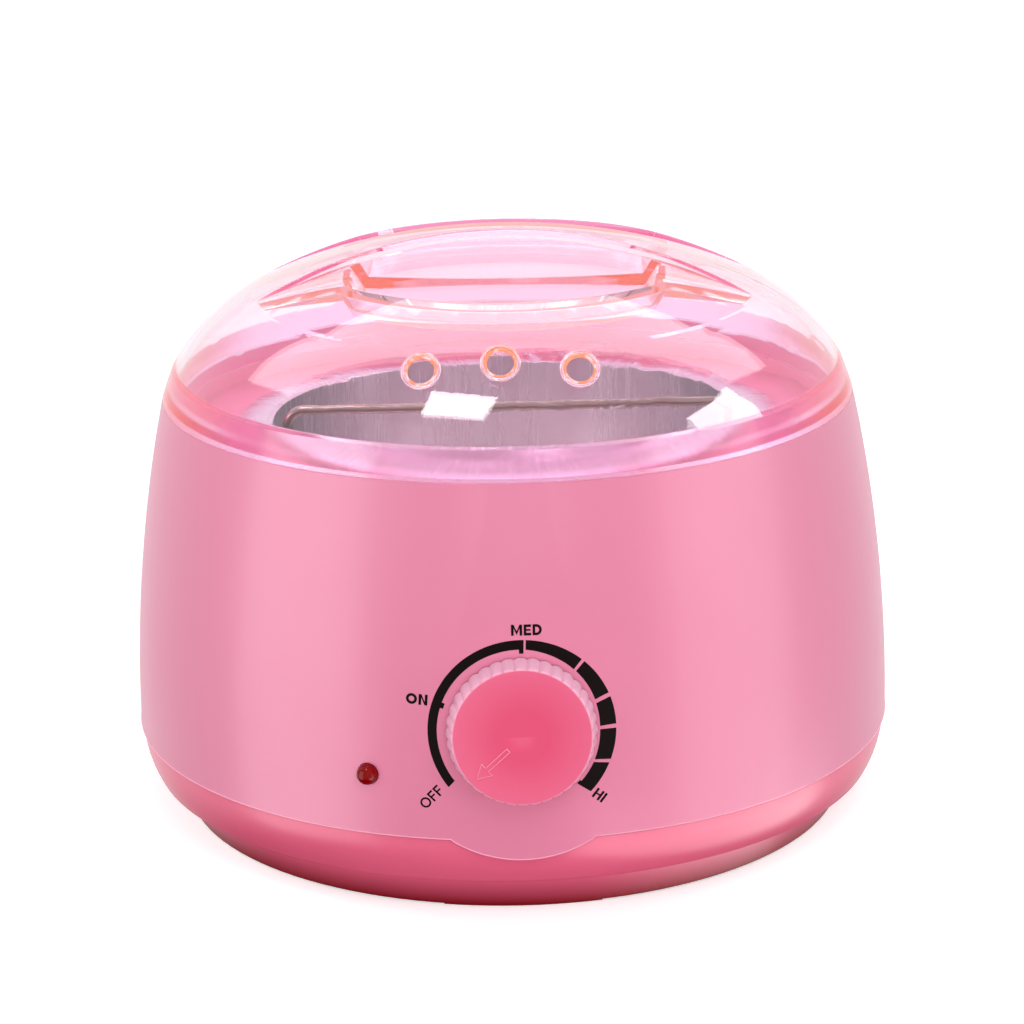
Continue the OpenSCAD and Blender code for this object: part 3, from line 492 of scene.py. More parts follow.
@dataclass(frozen=True)
class Clear(Finish):
    """Clear tinted plastic or glass, deeper in colour where the light goes a long way through it."""

    RIPPLE_SCALE: ClassVar[float] = 45.0
    RIPPLE_SHOWS: ClassVar[float] = 0.5
    SKIRT_FADE: ClassVar[float] = 0.3
    GLOW_AFTER_BOUNCES: ClassVar[Point] = (1.5, 3.5)
    depth_colour: Colour
    density: float
    roughness: float = 0.01
    edge: float = 0.35
    ripple: float = 0.02
    painted_glow: PaintedGlow | None = None
    skirt: Colour | None = None
    skirt_roughness: float = 0.16

    def material(self) -> bpy.types.Material:
        """The finish as a material, with the tint inside it."""
        made = super().material()
        tree = made.node_tree
        out = next(n for n in tree.nodes if n.type == "OUTPUT_MATERIAL")
        if not out.inputs["Volume"].links:
            tint = tree.nodes.new("ShaderNodeVolumeAbsorption")
            tint.inputs["Color"].default_value = (*self.depth_colour, 1.0)
            tint.inputs["Density"].default_value = self.density
            tree.links.new(tint.outputs[0], out.inputs["Volume"])
        return made

    def wire(self, graph: Graph) -> bpy.types.NodeSocket:
        """Clear plastic that lets the lamps' light through to what is under it."""
        place = graph.spot()
        ripples = graph.noise(place, self.RIPPLE_SCALE, 1.0)
        normal = graph.relief(self.edge, self.RIPPLE_SHOWS, self.ripple, ripples)
        colour: object = self.colour
        roughness: object = self.roughness
        if self.skirt:
            top, end = (LID_SKIRT_TOP + self.SKIRT_FADE) * MM, (LID_SKIRT_TOP - self.SKIRT_FADE) * MM
            low = graph.spread(graph.axes(place)[2], top, end)
            colour = graph.blend(low, self.colour, self.skirt)
            roughness = graph.spread(low, 0.0, 1.0, self.roughness, self.skirt_roughness)
        shader = graph.add(
            "BsdfPrincipled",
            {
                "Base Color": colour,
                "Roughness": roughness,
                "IOR": ACRYLIC_IOR,
                "Transmission Weight": 1.0,
                "Normal": normal,
            },
        )
        surface = shader.outputs[0]
        light = graph.add("LightPath").outputs
        # Painted glow: the plastic gives out light of its own on paths that have bounced inside it many
        # times.
        if self.painted_glow:
            glow_share = graph.spread(light["Glossy Depth"], *self.GLOW_AFTER_BOUNCES, 0.0, self.painted_glow.share)
            painted_shine = graph.add("Emission", {"Color": self.painted_glow.wire(graph, place), "Strength": 1.0})
            surface = graph.add("MixShader", {0: glow_share, 1: surface, 2: painted_shine.outputs[0]}).outputs[0]
        open_way = graph.add("BsdfTransparent", {"Color": self.colour})
        mixed = graph.add("MixShader", {0: light["Is Shadow Ray"], 1: surface, 2: open_way.outputs[0]})
        return mixed.outputs[0]


@dataclass(frozen=True)
class PaintedGlowEdge(Finish):
    """Painted glow on the cut edge of tinted clear plastic: a warmer colour that gives out light of its own.
    """

    PATCH_SCALE: ClassVar[float] = 420.0
    PATCH_SPAN: ClassVar[Point] = (0.5, 0.62)
    pale: Colour
    roughness: float = 0.2
    painted_shine: float = 0.4

    def wire(self, graph: Graph) -> bpy.types.NodeSocket:
        """Warm painted glow with paler stretches."""
        patches = graph.noise(graph.spot(), self.PATCH_SCALE, 1.0)
        colour = graph.blend(graph.spread(patches, *self.PATCH_SPAN), self.colour, self.pale)
        shader = graph.add(
            "BsdfPrincipled",
            {
                "Base Color": colour,
                "Roughness": self.roughness,
                "IOR": ACRYLIC_IOR,
                "Emission Color": colour,
                "Emission Strength": self.painted_shine,
            },
        )
        return shader.outputs[0]


SHELL_PINK = Moulded(
    "shell_pink",
    tone(222, 127, 160),
    roughness=0.42,
    drift=0.06,
    coat=0.5,
    coat_roughness=0.24,
    edge=0.5,
)
# Painted shade: the base's pink is a deeper copy of the shell's pink, for the band that lies below the seam.
BASE_PINK_PAINTED_SHADE = Moulded(
    "base_pink",
    tone(236, 106, 140),
    roughness=0.4,
    drift=0.06,
    coat=0.6,
    coat_roughness=0.24,
    gloss=0.25,
    # Painted shade: the foot ring darkens to this crimson towards the bottom.
    deep=tone(128, 4, 14),
    painted_shade_from=(0.6, 7.6),
)
KNOB_PINK = Moulded(
    "knob_pink",
    tone(228, 86, 122),
    roughness=0.45,
    edge=0.35,
    drift=0.25,
    # Painted highlight: the outer face and the flutes are paler, where the light from above catches them.
    painted_highlight=PaintedRimHighlight(
        (0.0, -91.572, 47.0),
        (0.0, -0.99746, 0.07133),
        ((tone(235, 108, 143), 6.0, 15.4), (tone(255, 194, 220), 15.15, 15.6)),
    ),
)
LID_CLEAR = Clear(
    "lid_clear",
    (0.985, 0.935, 0.975),
    depth_colour=(1.0, 0.25, 0.6),
    density=13.0,
    # Painted glow: pale on the dome, orange round the finger pits and at the ends, pink on the skirt.
    painted_glow=PaintedGlow(
        dome=tone(254, 216, 230),
        pits=tone(250, 136, 98),
        skirt=tone(248, 176, 214),
        ends=tone(252, 112, 96),
    ),
    skirt=(0.93, 0.58, 0.80),
)
# Painted glow: the vents' cut edges shine orange as light of their own.
PAINTED_GLOW_EDGE = PaintedGlowEdge("painted_glow_edge", tone(252, 132, 84), pale=tone(255, 190, 190))
LENS_RED = Moulded(
    "lens_red", tone(134, 4, 6), roughness=0.08, drift=0.1, edge=0.1, skin_depth=0.001, gloss=0.12
)
LAMP_GLASS = Clear(
    "lamp_glass", (0.97, 0.93, 0.9), depth_colour=(0.98, 0.9, 0.85), density=20.0, edge=0.1, ripple=0.005
)
FOOT_RUBBER = Moulded(
    "foot_rubber", tone(120, 34, 46), roughness=0.75, skin_size=2200.0, skin_depth=0.02, edge=0.2
)
GROMMET_RUBBER = Moulded(
    "grommet_rubber", tone(214, 118, 148), roughness=0.6, skin_size=1800.0, skin_depth=0.01
)
POT_ALUMINIUM = Metal(
    "pot_aluminium", (0.86, 0.83, 0.88), roughness=0.24, grain=Grain.UP_THE_WALL, strength=0.3
)
WELL_ALUMINIUM = Metal("well_aluminium", (0.74, 0.74, 0.75), roughness=0.34, grain=Grain.ROUND)
BAIL_STEEL = Metal("bail_steel", (0.30, 0.21, 0.20), roughness=0.18, strength=0.3)
ZINC_STEEL = Metal("zinc_steel", (0.66, 0.66, 0.67), roughness=0.32)
SHEET_STEEL = Metal("sheet_steel", (0.62, 0.62, 0.63), roughness=0.38)
BRASS = Metal("brass_parts", (0.78, 0.58, 0.26), roughness=0.28)
BIMETAL = Metal("bimetal", (0.66, 0.46, 0.26), roughness=0.35)
MICA = Moulded("mica_band", tone(186, 170, 140), roughness=0.5, drift=0.6, skin_size=500.0, skin_depth=0.05)
FUSE_SLEEVE = Moulded("fuse_sleeve", tone(222, 214, 196), roughness=0.85, skin_size=1500.0, skin_depth=0.15)
CERAMIC = Moulded("ceramic_block", tone(238, 233, 220), roughness=0.7, skin_size=1500.0, skin_depth=0.03)
NYLON = Moulded("nylon_white", tone(240, 238, 230), roughness=0.45, drift=0.12)
LEAD_SLEEVE = Moulded("lead_sleeve", tone(222, 218, 214), roughness=0.6, drift=0.15)
INK = Moulded("dial_ink", tone(10, 3, 4), roughness=0.6, drift=0.3, skin_size=2600.0, edge=0.05, gloss=0.08)
# Painted highlight: the bead round the knob's arrow is paler than the knob, where its edge catches the
# light.
ARROW_HIGHLIGHT_PINK = Moulded("arrow_painted_highlight", tone(252, 164, 188), roughness=0.35, drift=0.1, edge=0.05)
# Painted highlight: the seam bead is paler than the shell, a light line along the rounded edge.
SEAM_HIGHLIGHT_PINK = Moulded("seam_painted_highlight", tone(250, 178, 204), roughness=0.3, coat=0.3, drift=0.1, edge=0.05)


def dress(finishes: dict[str, Finish]) -> None:
    """Gives solids of the frame their finishes.

    Args:
        finishes: what the surface of each solid is, by the solid's name.
    """
    for node, finish in finishes.items():
        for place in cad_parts[node].material_slots:
            place.material = finish.material()
        LOG.info("%s: %s", node, finish.name)


def hang(name: str, data: bpy.types.ID) -> bpy.types.Object:
    """Puts a new object with its data into the scene."""
    made = bpy.data.objects.new(name, data)
    bpy.context.scene.collection.objects.link(made)
    return made


def piece_of(name: str, shape: bmesh.types.BMesh) -> bpy.types.Object:
    """Makes a drawn shape into a new piece and lets go of the drawing."""
    mesh = bpy.data.meshes.new(name)
    shape.to_mesh(mesh)
    shape.free()
    return hang(name, mesh)


def settle(piece: bpy.types.Object, body: Body, finish: Finish) -> None:
    """Finishes one new piece and ties it to its body.

    Args:
        piece: the object, in its place.
        body: the body that it moves with.
        finish: what its surface is.
    """
    piece.data.materials.append(finish.material())
    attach(piece, body.value)
    LOG.info("%s rides on %s", piece.name, body.value)


def bead(name: str, path: Sequence[Vector], radius: float) -> bpy.types.Object:
    """Makes a closed bead along an edge.

    Args:
        name: the piece's name.
        path: points along the edge, in metres.
        radius: half the bead's thickness, in millimetres.

    Returns:
        The bead.
    """
    line = bpy.data.curves.new(name, "CURVE")
    line.dimensions = "3D"
    line.bevel_depth = radius * MM
    line.bevel_resolution = 2
    spline = line.splines.new("POLY")
    spline.points.add(len(path) - 1)
    for point, spot in zip(spline.points, path):
        point.co = (*spot, 1.0)
    spline.use_cyclic_u = True
    return hang(name, line)


@dataclass(frozen=True)
class SoftBox:
    """One lamp with a cloth front."""

    name: str
    place: Spot
    size: Point
    power: float
    serves: Serves
    aim: Spot = (0.0, 0.0, 0.08)
    roll: float = 0.0

    def build(self) -> None:
        """Hangs the lamp and turns it to the heater."""
        lamp = bpy.data.lights.new(self.name, "AREA")
        lamp.shape = "RECTANGLE"
        lamp.size, lamp.size_y = self.size
        lamp.energy = self.power
        stand = hang(self.name, lamp)
        stand.location = self.place
        turned = (Vector(self.aim) - Vector(self.place)).to_track_quat("-Z", "Y").to_matrix()
        stand.rotation_euler = (turned @ Matrix.Rotation(math.radians(self.roll), 3, "Z")).to_euler()
        stand.visible_diffuse = self.serves is Serves.LIGHT
        stand.visible_glossy = self.serves is Serves.GLOSS
        stand.visible_transmission = self.serves is Serves.GLOSS


@dataclass
class Studio:
    """Camera, lamps, floor and surroundings."""

    distance: float = 0.8
    elevation: float = 17.08
    azimuth: float = -1.12
    roll: float = 1.05
    focal_pixels: float = 3253.0
    middle: Point = (509.5, 509.4)
    target: Spot = (0.0, 0.0, 0.07)
    picture: float = 1024.0
    sensor: float = 36.0
    nearest: float = 0.01
    ambient: float = 0.48
    floor_lift: float = 0.52
    floor_bounce: Colour = (0.36, 0.20, 0.22)
    floor_whites: tuple[Colour, Colour] = ((0.9, 0.9, 0.9), (0.93, 0.93, 0.93))
    floor_fibre: float = 300.0
    floor_reach: float = 4.0
    under: Colour = (0.25, 0.02, 0.04)
    under_from: Point = (-0.42, -0.68)
    boxes: list[SoftBox] = field(
        default_factory=lambda: [
            SoftBox("top_box", (-0.19, -0.30, 0.95), (0.25, 0.21), 2.5, Serves.GLOSS, roll=10.0),
            SoftBox("right_box", (0.79, -0.08, 0.56), (0.34, 0.36), 3.6, Serves.GLOSS),
            SoftBox("left_strip", (-0.87, -0.40, 0.0), (0.72, 1.2), 9.8, Serves.GLOSS),
            SoftBox("right_strip", (0.87, -0.40, 0.03), (0.72, 1.14), 6.2, Serves.GLOSS),
            SoftBox("low_right", (0.76, -0.40, -0.66), (1.7, 0.5), 13.0, Serves.GLOSS),
            SoftBox("back_box", (0.0, 1.0, 1.85), (4.4, 0.85), 30.0, Serves.GLOSS),
            SoftBox("key_box", (0.22, -0.80, 0.90), (0.6, 0.6), 2.8, Serves.LIGHT),
            SoftBox("front_fill", (0.0, -1.7, 0.36), (0.9, 0.5), 10.2, Serves.LIGHT),
            SoftBox("left_fill", (-1.25, -1.25, 0.5), (0.6, 0.6), 2.6, Serves.LIGHT),
            SoftBox("low_fill", (1.15, -0.80, 0.09), (0.6, 0.14), 2.0, Serves.LIGHT),
            SoftBox("left_side", (-1.35, 0.80, 0.45), (0.6, 0.6), 12.5, Serves.LIGHT),
            SoftBox("right_side", (1.3, 0.92, 0.45), (0.6, 0.6), 8.5, Serves.LIGHT),
        ]
    )

    def camera(self) -> None:
        """The camera at the photograph's angle, made before everything else."""
        up_angle, turn, lean = (math.radians(v) for v in (self.elevation, self.azimuth, self.roll))
        level = math.cos(up_angle)
        back = Vector((math.sin(turn) * level, -math.cos(turn) * level, math.sin(up_angle)))
        right = Vector((math.cos(turn), math.sin(turn), 0.0))
        up = back.cross(right)
        across = right * math.cos(lean) - up * math.sin(lean)
        upright = right * math.sin(lean) + up * math.cos(lean)
        lens = bpy.data.cameras.new("camera")
        lens.sensor_width = self.sensor
        lens.lens = self.focal_pixels / self.picture * self.sensor
        lens.shift_x = (self.picture / 2 - self.middle[0]) / self.picture
        lens.shift_y = (self.middle[1] - self.picture / 2) / self.picture
        lens.clip_start = self.nearest
        view = hang("camera", lens)
        turned = Matrix((across, upright, back)).transposed().to_4x4()
        view.matrix_world = Matrix.Translation(Vector(self.target) + back * self.distance) @ turned
        bpy.context.scene.camera = view

    @staticmethod
    def seen(graph: Graph) -> bpy.types.NodeSocket:
        """1 for the camera and for what gloss and clear plastic show, 0 for the light on the object."""
        light = graph.add("LightPath").outputs
        shown = graph.math("MAXIMUM", light["Is Camera Ray"], light["Is Glossy Ray"])
        return graph.math("MAXIMUM", shown, light["Is Transmission Ray"])

    def surroundings(self) -> None:
        """White all round, softer as light, and dim where gloss shows what lies under the heater."""
        world = bpy.data.worlds.new("surroundings")
        world.use_nodes = True
        graph = Graph(world.node_tree)
        strength = graph.spread(self.seen(graph), 0.0, 1.0, self.ambient, 1.0)
        height = graph.axes(graph.add("TexCoord").outputs["Generated"])[2]
        glossy = graph.add("LightPath").outputs["Is Glossy Ray"]
        under = graph.math("MULTIPLY", graph.spread(height, *self.under_from), glossy)
        colour = graph.blend(under, (1.0, 1.0, 1.0), self.under)
        sky = graph.add("Background", {"Color": colour, "Strength": strength})
        graph.add("OutputWorld", {"Surface": sky.outputs[0]})
        bpy.context.scene.world = world

    def floor(self) -> None:
        """A pale floor that keeps the heater's shadow."""
        mesh = bpy.data.meshes.new("floor")
        ends = (-self.floor_reach, self.floor_reach)
        corners = [(ends[x], ends[y], 0.0) for x, y in ((0, 0), (1, 0), (1, 1), (0, 1))]
        mesh.from_pydata(corners, [], [(0, 1, 2, 3)])
        paper = bpy.data.materials.new("finish_floor_paper")
        paper.use_nodes = True
        graph = Graph(paper.node_tree)
        fibre = graph.noise(graph.spot(), self.floor_fibre)
        white = graph.blend(fibre, *self.floor_whites)
        bounced = graph.add("LightPath").outputs["Is Diffuse Ray"]
        sheet = graph.add("BsdfDiffuse", {"Color": graph.blend(bounced, white, self.floor_bounce)})
        shown = graph.math("MULTIPLY", self.seen(graph), self.floor_lift)
        lift = graph.add("Emission", {"Color": (1.0, 1.0, 1.0), "Strength": shown})
        both = graph.add("AddShader", {0: sheet.outputs[0], 1: lift.outputs[0]})
        graph.add("OutputMaterial", {"Surface": both.outputs[0]})
        mesh.materials.append(paper)
        sheet_object = hang("floor", mesh)
        sheet_object.visible_glossy = False

    def light(self) -> None:
        """Sets the view, the surroundings, the floor and the lamps."""
        bpy.context.scene.view_settings.view_transform = "Standard"
        self.surroundings()
        self.floor()
        for box in self.boxes:
            box.build()


@dataclass
class Housing:
    """The two mouldings and what is fixed to their outside."""

    body_r: float = 92.5
    rim_inset: float = 9.0
    seam_z: float = 21.0
    rim_z: float = 101.5
    tongue_r: float = 30.7
    tongue_z: float = 47.0
    seam_bead: float = 0.14
    seam_steps: int = 180
    tongue_steps: int = 40
    rounds: int = 12

    def side(self) -> Point:
        """Radius of the side arc and where its centre lies from the axis."""
        rise = self.rim_z - self.seam_z
        arc = (rise**2 + self.rim_inset**2) / (2 * self.rim_inset)
        return arc, self.body_r - arc

    def wall(self, z: float) -> float:
        """Outside radius of the body at a height, in millimetres."""
        arc, centre = self.side()
        return centre + math.sqrt(arc**2 - (z - self.seam_z) ** 2)

    def lean(self, z: float) -> float:
        """How far the wall leans in at a height, in radians."""
        return math.asin((z - self.seam_z) / self.side()[0])

    def on_wall(self, z: float, across: float, up: float, lift: float) -> Vector:
        """Moves a flat drawing onto the front wall.

        Args:
            z: height of the drawing's middle, in millimetres.
            across: how far right of the middle.
            up: how far up the wall from the middle.
            lift: how far off the wall.

        Returns:
            The place in metres.
        """
        lean = self.lean(z)
        out = Vector((0.0, -math.cos(lean), math.sin(lean)))
        start = Vector((across, -self.wall(z), z))
        start += Vector((0.0, math.sin(lean), math.cos(lean))) * up
        depth = 0.0
        for _ in range(self.rounds):
            here = start - out * depth
            depth += math.hypot(here.x, here.y) - self.wall(here.z)
        here = start - out * depth
        tilt = self.lean(here.z)
        flat = Vector((here.x, here.y, 0.0)).normalized()
        return (here + (flat * math.cos(tilt) + Vector((0, 0, math.sin(tilt)))) * lift) * MM

    def seam(self) -> list[Vector]:
        """Lower edge of the upper moulding, round the back and along the tongue, in metres."""
        drop = (self.seam_z - self.tongue_z) / math.cos(self.lean(self.tongue_z))
        half = math.sqrt(self.tongue_r**2 - drop**2)
        reach = self.wall(self.seam_z)
        height = self.seam_z + self.seam_bead
        start = math.asin(half / reach)
        path = []
        for i in range(self.seam_steps + 1):
            turn = start + (2 * math.pi - 2 * start) * i / self.seam_steps
            path.append(Vector((math.sin(turn) * reach, -math.cos(turn) * reach, height)) * MM)
        sweep = math.atan2(half, -drop)
        r = self.tongue_r - self.seam_bead
        for i in range(1, self.tongue_steps):
            turn = -sweep + 2 * sweep * i / self.tongue_steps
            path.append(self.on_wall(self.tongue_z, r * math.sin(turn), -r * math.cos(turn), 0.0))
        return path

    def build(self) -> None:
        """Rounds the lower edge of the upper moulding with a fine bead, coloured paler than the shell as a
        painted highlight line.
        """
        settle(bead("seam_edge", self.seam(), self.seam_bead), Body.HOUSING, SEAM_HIGHLIGHT_PINK)

    def dress(self) -> None:
        """Finishes the mouldings, feet, screws and grommet."""
        dress(
            {
                "upper_housing": SHELL_PINK,
                "base_pan": BASE_PINK_PAINTED_SHADE,
                "rubber_feet": FOOT_RUBBER,
                "case_screws": ZINC_STEEL,
                "cord_grommet": GROMMET_RUBBER,
            }
        )


@dataclass
class Dial:
    """Knob, printed scale and pilot lens on the front."""

    housing: Housing
    middle_z: float = 47.0
    centre: Point = (0.13, -0.45)
    outer: float = 20.95
    lift: float = 0.05
    step: float = 2.0
    weld: float = 0.005
    word_height: float = 2.45
    word_gap: float = 0.14
    arrow_turn: float = 222.0
    arrow_from: float = 4.2
    arrow_to: float = 13.8
    arrow_head: Point = (3.2, 1.8)
    arrow_half: float = 0.5
    arrow_top: float = 5.93
    arrow_bead: float = 0.13
    # Outer angle, inner angle and inner radius of a band, where it starts and where it ends.
    bands: tuple[tuple[float, ...], ...] = (
        (217.7, 216.7, 18.95, 88.1, 88.1, 18.82),
        (86.8, 86.7, 18.8, 50.0, 50.0, 18.1),
        (48.0, 47.8, 18.1, 22.6, 22.4, 17.6),
        (19.9, 19.3, 17.5, 2.1, 1.7, 17.3),
        (-0.6, -0.9, 17.3, -20.5, -24.0, 17.55),
        (-22.9, -26.2, 17.6, -44.1, -45.9, 17.7),
    )
    # Two angles and two radii of a tick.
    ticks: tuple[tuple[float, ...], ...] = (
        (162.9, 158.9, 18.98, 18.2),
        (91.2, 88.1, 18.84, 17.9),
        (-42.7, -45.9, 17.72, 17.3),
    )
    # A word, where it stands, how it is turned and how thick its strokes are.
    words: tuple[tuple, ...] = (
        ("OFF", -20.36, -15.8, 46.0, 0.17),
        ("ON", -23.04, 6.9, -4.0, 0.24),
        ("MED", 1.48, 22.73, 0.0, 0.23),
        ("HI", 17.17, -16.12, -38.0, 0.22),
    )

    def polar(self, angle: float, reach: float) -> Point:
        """Place on the flat drawing at an angle and a distance from the middle of the scale."""
        turn = math.radians(angle)
        return self.centre[0] + reach * math.cos(turn), self.centre[1] + reach * math.sin(turn)

    def press(self, name: str, quads: Iterable[Sequence[Point]]) -> bpy.types.Object:
        """Prints flat faces on the wall.

        Args:
            name: the piece's name.
            quads: the faces, as corners on the flat drawing.

        Returns:
            The print, a film of ink that follows the wall.
        """
        shape = bmesh.new()
        for quad in quads:
            spots = [self.housing.on_wall(self.middle_z, a, b, self.lift) for a, b in quad]
            shape.faces.new([shape.verts.new(spot) for spot in spots])
        bmesh.ops.remove_doubles(shape, verts=shape.verts, dist=self.weld * MM)
        bmesh.ops.recalc_face_normals(shape, faces=shape.faces)
        for face in shape.faces:
            if face.normal.y > 0:
                face.normal_flip()
        piece = piece_of(name, shape)
        film = piece.modifiers.new("film", "SOLIDIFY")
        film.thickness = 2 * self.lift * MM
        film.offset = -1.0
        return piece

    def scale_faces(self) -> list[list[Point]]:
        """Faces of the printed scale: the thin arc, the bands that widen, and the ticks."""
        faces = []
        for out_a, in_a, low_a, out_b, in_b, low_b in self.bands:
            count = max(2, math.ceil((out_a - out_b) / self.step))
            rows = []
            for i in range(count + 1):
                t = i / count
                top = self.polar(out_a + (out_b - out_a) * t, self.outer)
                rows.append((top, self.polar(in_a + (in_b - in_a) * t, low_a + (low_b - low_a) * t)))
            faces += [[a[0], a[1], b[1], b[0]] for a, b in zip(rows, rows[1:])]
        for start, end, top, low in self.ticks:
            corners = ((start, top), (start, low), (end, low), (end, top))
            faces.append([self.polar(*corner) for corner in corners])
        return faces

    @staticmethod
    def letter(letter: str, pen: float) -> tuple[float, list[list[Point]]]:
        """One letter of the scale.

        Args:
            letter: the capital.
            pen: how thick its strokes are.

        Returns:
            Its width and its faces, where the height of a capital is 1.
        """
        bar_low, bar_high, arc_step = 0.43, 0.58, 15

        def bar(left: float, low: float, right: float, high: float) -> list[Point]:
            """A straight stroke."""
            return [(left, low), (right, low), (right, high), (left, high)]

        def bow(x: float, wide: float, start: int, end: int) -> list[list[Point]]:
            """A round stroke about a middle, between two angles."""
            spots = []
            for angle in range(start, end + 1, arc_step):
                c, q = math.cos(math.radians(angle)), math.sin(math.radians(angle))
                inner = (x + (wide - pen) * c, 0.5 + (0.5 - pen) * q)
                spots.append(((x + wide * c, 0.5 + 0.5 * q), inner))
            return [[a[0], b[0], b[1], a[1]] for a, b in zip(spots, spots[1:])]

        stem = bar(0.0, 0.0, pen, 1.0)
        match letter:
            case "I":
                return pen, [stem]
            case "H":
                return 0.78, [stem, bar(0.78 - pen, 0.0, 0.78, 1.0), bar(pen, bar_low, 0.78 - pen, bar_high)]
            case "F":
                return 0.6, [stem, bar(pen, 1.0 - pen, 0.6, 1.0), bar(pen, bar_low, 0.55, bar_high)]
            case "E":
                ends = [bar(pen, 0.0, 0.66, pen), bar(pen, 1.0 - pen, 0.66, 1.0)]
                return 0.66, [stem, ends[0], bar(pen, bar_low, 0.61, bar_high), ends[1]]
            case "N":
                slant = [(pen, 0.7), (0.8 - pen, 0.0), (0.8 - pen, 0.3), (pen, 1.0)]
                return 0.8, [stem, slant, bar(0.8 - pen, 0.0, 0.8, 1.0)]
            case "M":
                down = [(pen, 0.67), (0.5, 0.06), (0.5, 0.39), (pen, 1.0)]
                rise = [(0.5, 0.06), (1.0 - pen, 0.67), (1.0 - pen, 1.0), (0.5, 0.39)]
                return 1.0, [stem, down, rise, bar(1.0 - pen, 0.0, 1.0, 1.0)]
            case "D":
                ends = [bar(pen, 0.0, 0.34, pen), bar(pen, 1.0 - pen, 0.34, 1.0)]
                return 0.82, [stem, *ends, *bow(0.34, 0.48, -90, 90)]
            case _:
                return 1.0, bow(0.5, 0.5, 0, 360)

    def word_faces(self, word: str, across: float, up: float, turn: float, pen: float) -> list[list[Point]]:
        """Faces of one word of the scale.

        Args:
            word: the capitals.
            across: how far right of the knob its middle lies.
            up: how far up the wall its middle lies.
            turn: how far it is turned, in degrees.
            pen: how thick its strokes are.

        Returns:
            The faces, as corners on the flat drawing.
        """
        drawn = [self.letter(c, pen) for c in word]
        left = -(sum(wide for wide, _ in drawn) + self.word_gap * (len(drawn) - 1)) / 2
        spin = Matrix.Rotation(math.radians(turn), 2)
        faces = []
        for wide, shapes in drawn:
            for shape in shapes:
                spots = [spin @ (Vector((x + left, y - 0.5)) * self.word_height) for x, y in shape]
                faces.append([(across + spot.x, up + spot.y) for spot in spots])
            left += wide + self.word_gap
        return faces

    def arrow_edge(self) -> bpy.types.Object:
        """Fine bead round the raised arrow of the knob, coloured paler than the knob as a painted highlight
        along its edge.
        """
        neck, wing = self.arrow_to - self.arrow_head[0], self.arrow_head[1]
        half = [(self.arrow_from, self.arrow_half), (neck, self.arrow_half), (neck, wing)]
        outline = [*half, (self.arrow_to, 0.0), *((x, -y) for x, y in reversed(half))]
        spin = Matrix.Rotation(math.radians(self.arrow_turn), 2)
        lean = self.housing.lean(self.middle_z)
        middle = Vector((0.0, -self.housing.wall(self.middle_z), self.middle_z))
        middle += Vector((0.0, -math.cos(lean), math.sin(lean))) * self.arrow_top
        path = []
        for spot in outline:
            across, up = spin @ Vector(spot)
            path.append((middle + Vector((across, up * math.sin(lean), up * math.cos(lean)))) * MM)
        return bead("arrow_edge", path, self.arrow_bead)

    def build(self) -> None:
        """Prints the scale and its words, and rounds the arrow's edge with a bead in a painted highlight."""
        settle(self.arrow_edge(), Body.KNOB, ARROW_HIGHLIGHT_PINK)
        settle(self.press("dial_scale", self.scale_faces()), Body.HOUSING, INK)
        for word, *place in self.words:
            piece = self.press("dial_word_" + word.lower(), self.word_faces(word, *place))
            settle(piece, Body.HOUSING, INK)

    def dress(self) -> None:
        """Finishes the knob and the lens."""
        dress({"control_knob": KNOB_PINK, "indicator_lens": LENS_RED})


@dataclass
class PotSet:
    """The lift-out pot, its bail and the well that it stands in."""

    def dress(self) -> None:
        """Finishes the pot, the bail and the well."""
        dress(
            {
                "wax_pot": POT_ALUMINIUM,
                "pot_bail": BAIL_STEEL,
                "heating_well": WELL_ALUMINIUM,
                "well_screws": ZINC_STEEL,
            }
        )


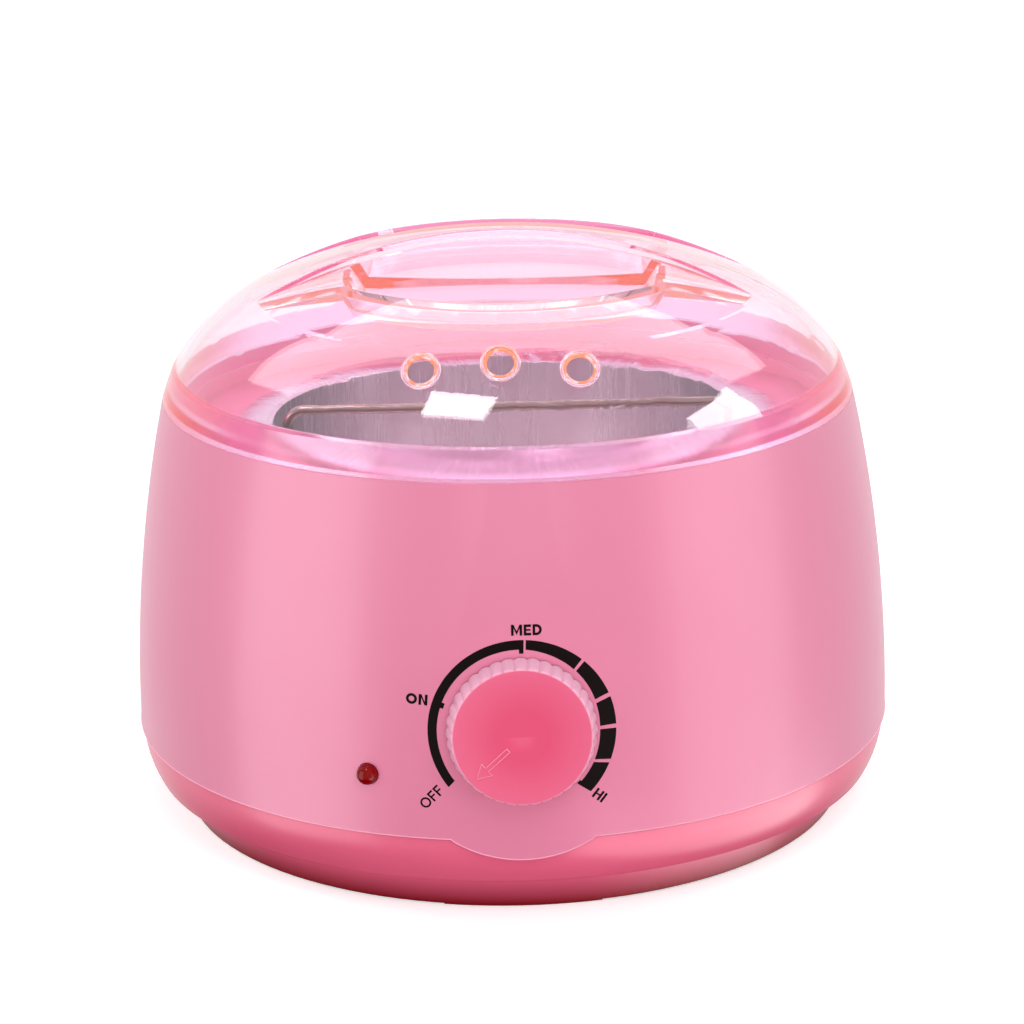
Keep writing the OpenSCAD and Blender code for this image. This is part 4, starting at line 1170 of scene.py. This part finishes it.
@dataclass
class Lid:
    """The clear lid and the collars of its vents."""

    wall: float = 2.5
    turn: float = -2.4
    shoulder: Point = (38.994, 82.402)
    shoulder_r: float = 49.4
    vent_pitch: float = 17.7
    vent_y: float = 65.4
    vent_tilt: float = 22.0
    steps: int = 48
    start_out: float = 10.0
    reach_in: float = 24.0
    rounds: int = 40
    # The lining is a ring in each vent that carries the painted glow of its cut edge.
    # Radius of each corner, the face that it is set from and how far it stands out.
    glow_lining: tuple[Spot, ...] = (
        (3.64, 0.0, 0.05),
        (3.5, 0.0, 0.2),
        (3.25, 0.0, 0.15),
        (3.1, 0.0, -0.1),
        (3.1, 1.0, 0.2),
        (3.6, 1.0, 0.05),
    )
    collar: tuple[Spot, ...] = (
        (4.55, 0.0, -0.02),
        (4.45, 0.0, 0.2),
        (4.1, 0.0, 0.36),
        (3.8, 0.0, 0.2),
        (3.72, 0.0, -0.02),
    )

    def meet(self, start: Vector, way: Vector, depth: float) -> Vector:
        """Where a line from outside meets the shoulder of the lid.

        Args:
            start: a point outside, in millimetres.
            way: the direction inwards.
            depth: 0 for the outer face, 1 for the inner face.

        Returns:
            The point on the face.
        """
        reach = self.shoulder_r - depth * self.wall
        near, far = 0.0, self.reach_in
        for _ in range(self.rounds):
            middle = (near + far) / 2
            spot = start + way * middle
            across = math.hypot(spot.x, spot.y) - self.shoulder[0]
            out = math.hypot(across, spot.z - self.shoulder[1]) > reach
            near, far = (middle, far) if out else (near, middle)
        return start + way * near

    def ring(self, name: str, number: int, profile: Sequence[Spot]) -> bpy.types.Object:
        """A ring that follows the lid round one vent.

        Args:
            name: the piece's name.
            number: which vent, from -1 to 1.
            profile: the corners of the section.

        Returns:
            The ring.
        """
        tilt = math.radians(self.vent_tilt)
        axis = Vector((0.0, -math.cos(tilt), math.sin(tilt)))
        side = Vector((1.0, 0.0, 0.0))
        up = axis.cross(side)
        across = number * self.vent_pitch
        reach = math.hypot(across, self.vent_y) - self.shoulder[0]
        height = self.shoulder[1] + math.sqrt(self.shoulder_r**2 - reach**2)
        middle = Vector((across, -self.vent_y, height))
        spin = Matrix.Rotation(math.radians(self.turn), 3, "Z")
        shape = bmesh.new()
        rows = []
        for i in range(self.steps):
            turn = 2 * math.pi * i / self.steps
            ray = side * math.cos(turn) + up * math.sin(turn)
            row = []
            for radius, face, rise in profile:
                start = middle + axis * self.start_out + ray * radius
                row.append(shape.verts.new(spin @ (self.meet(start, -axis, face) + axis * rise) * MM))
            rows.append(row)
        for here, there in zip(rows, rows[1:] + rows[:1]):
            for i in range(len(profile)):
                j = (i + 1) % len(profile)
                shape.faces.new((here[i], here[j], there[j], there[i])).smooth = True
        bmesh.ops.recalc_face_normals(shape, faces=shape.faces)
        return piece_of(name, shape)

    def build(self) -> None:
        """Lines the three vents with rings in a painted glow and sets a raised collar round each."""
        for number, place in ((-1, "left"), (0, "middle"), (1, "right")):
            glow_lining = self.ring("vent_glow_lining_" + place, number, self.glow_lining)
            settle(glow_lining, Body.LID, PAINTED_GLOW_EDGE)
            collar = self.ring("vent_collar_" + place, number, self.collar)
            settle(collar, Body.LID, LID_CLEAR)

    def dress(self) -> None:
        """Finishes the lid."""
        dress({"lid": LID_CLEAR})


@dataclass
class HeaterGear:
    """Element, thermostat, lamp, fuse and wiring inside the housing."""

    def dress(self) -> None:
        """Finishes everything that is inside the housing."""
        dress(
            {
                "heater_band": MICA,
                "band_clamp": SHEET_STEEL,
                "band_clamp_screw": ZINC_STEEL,
                "thermal_fuse": FUSE_SLEEVE,
                "fuse_clip": SHEET_STEEL,
                "fuse_clip_screws": ZINC_STEEL,
                "thermostat_spindle": ZINC_STEEL,
                "thermostat_bush": BRASS,
                "thermostat_nut": ZINC_STEEL,
                "thermostat_body": CERAMIC,
                "thermostat_blade": BIMETAL,
                "thermostat_bracket": SHEET_STEEL,
                "bracket_screws": ZINC_STEEL,
                "pilot_lamp": LAMP_GLASS,
                "lamp_holder": NYLON,
                "terminal_block": NYLON,
                "terminal_screws": BRASS,
                "cord_clamp": NYLON,
                "cord_clamp_screws": ZINC_STEEL,
                "lead_wires": LEAD_SLEEVE,
            }
        )


def main() -> None:
    """Builds and dresses the heater."""
    logging.basicConfig(level=logging.INFO, format="%(name)s: %(message)s")
    studio = Studio()
    studio.camera()
    studio.light()
    housing = Housing()
    housing.build()
    housing.dress()
    dial = Dial(housing)
    dial.build()
    dial.dress()
    PotSet().dress()
    lid = Lid()
    lid.build()
    lid.dress()
    HeaterGear().dress()


if __name__ == "__main__":
    main()
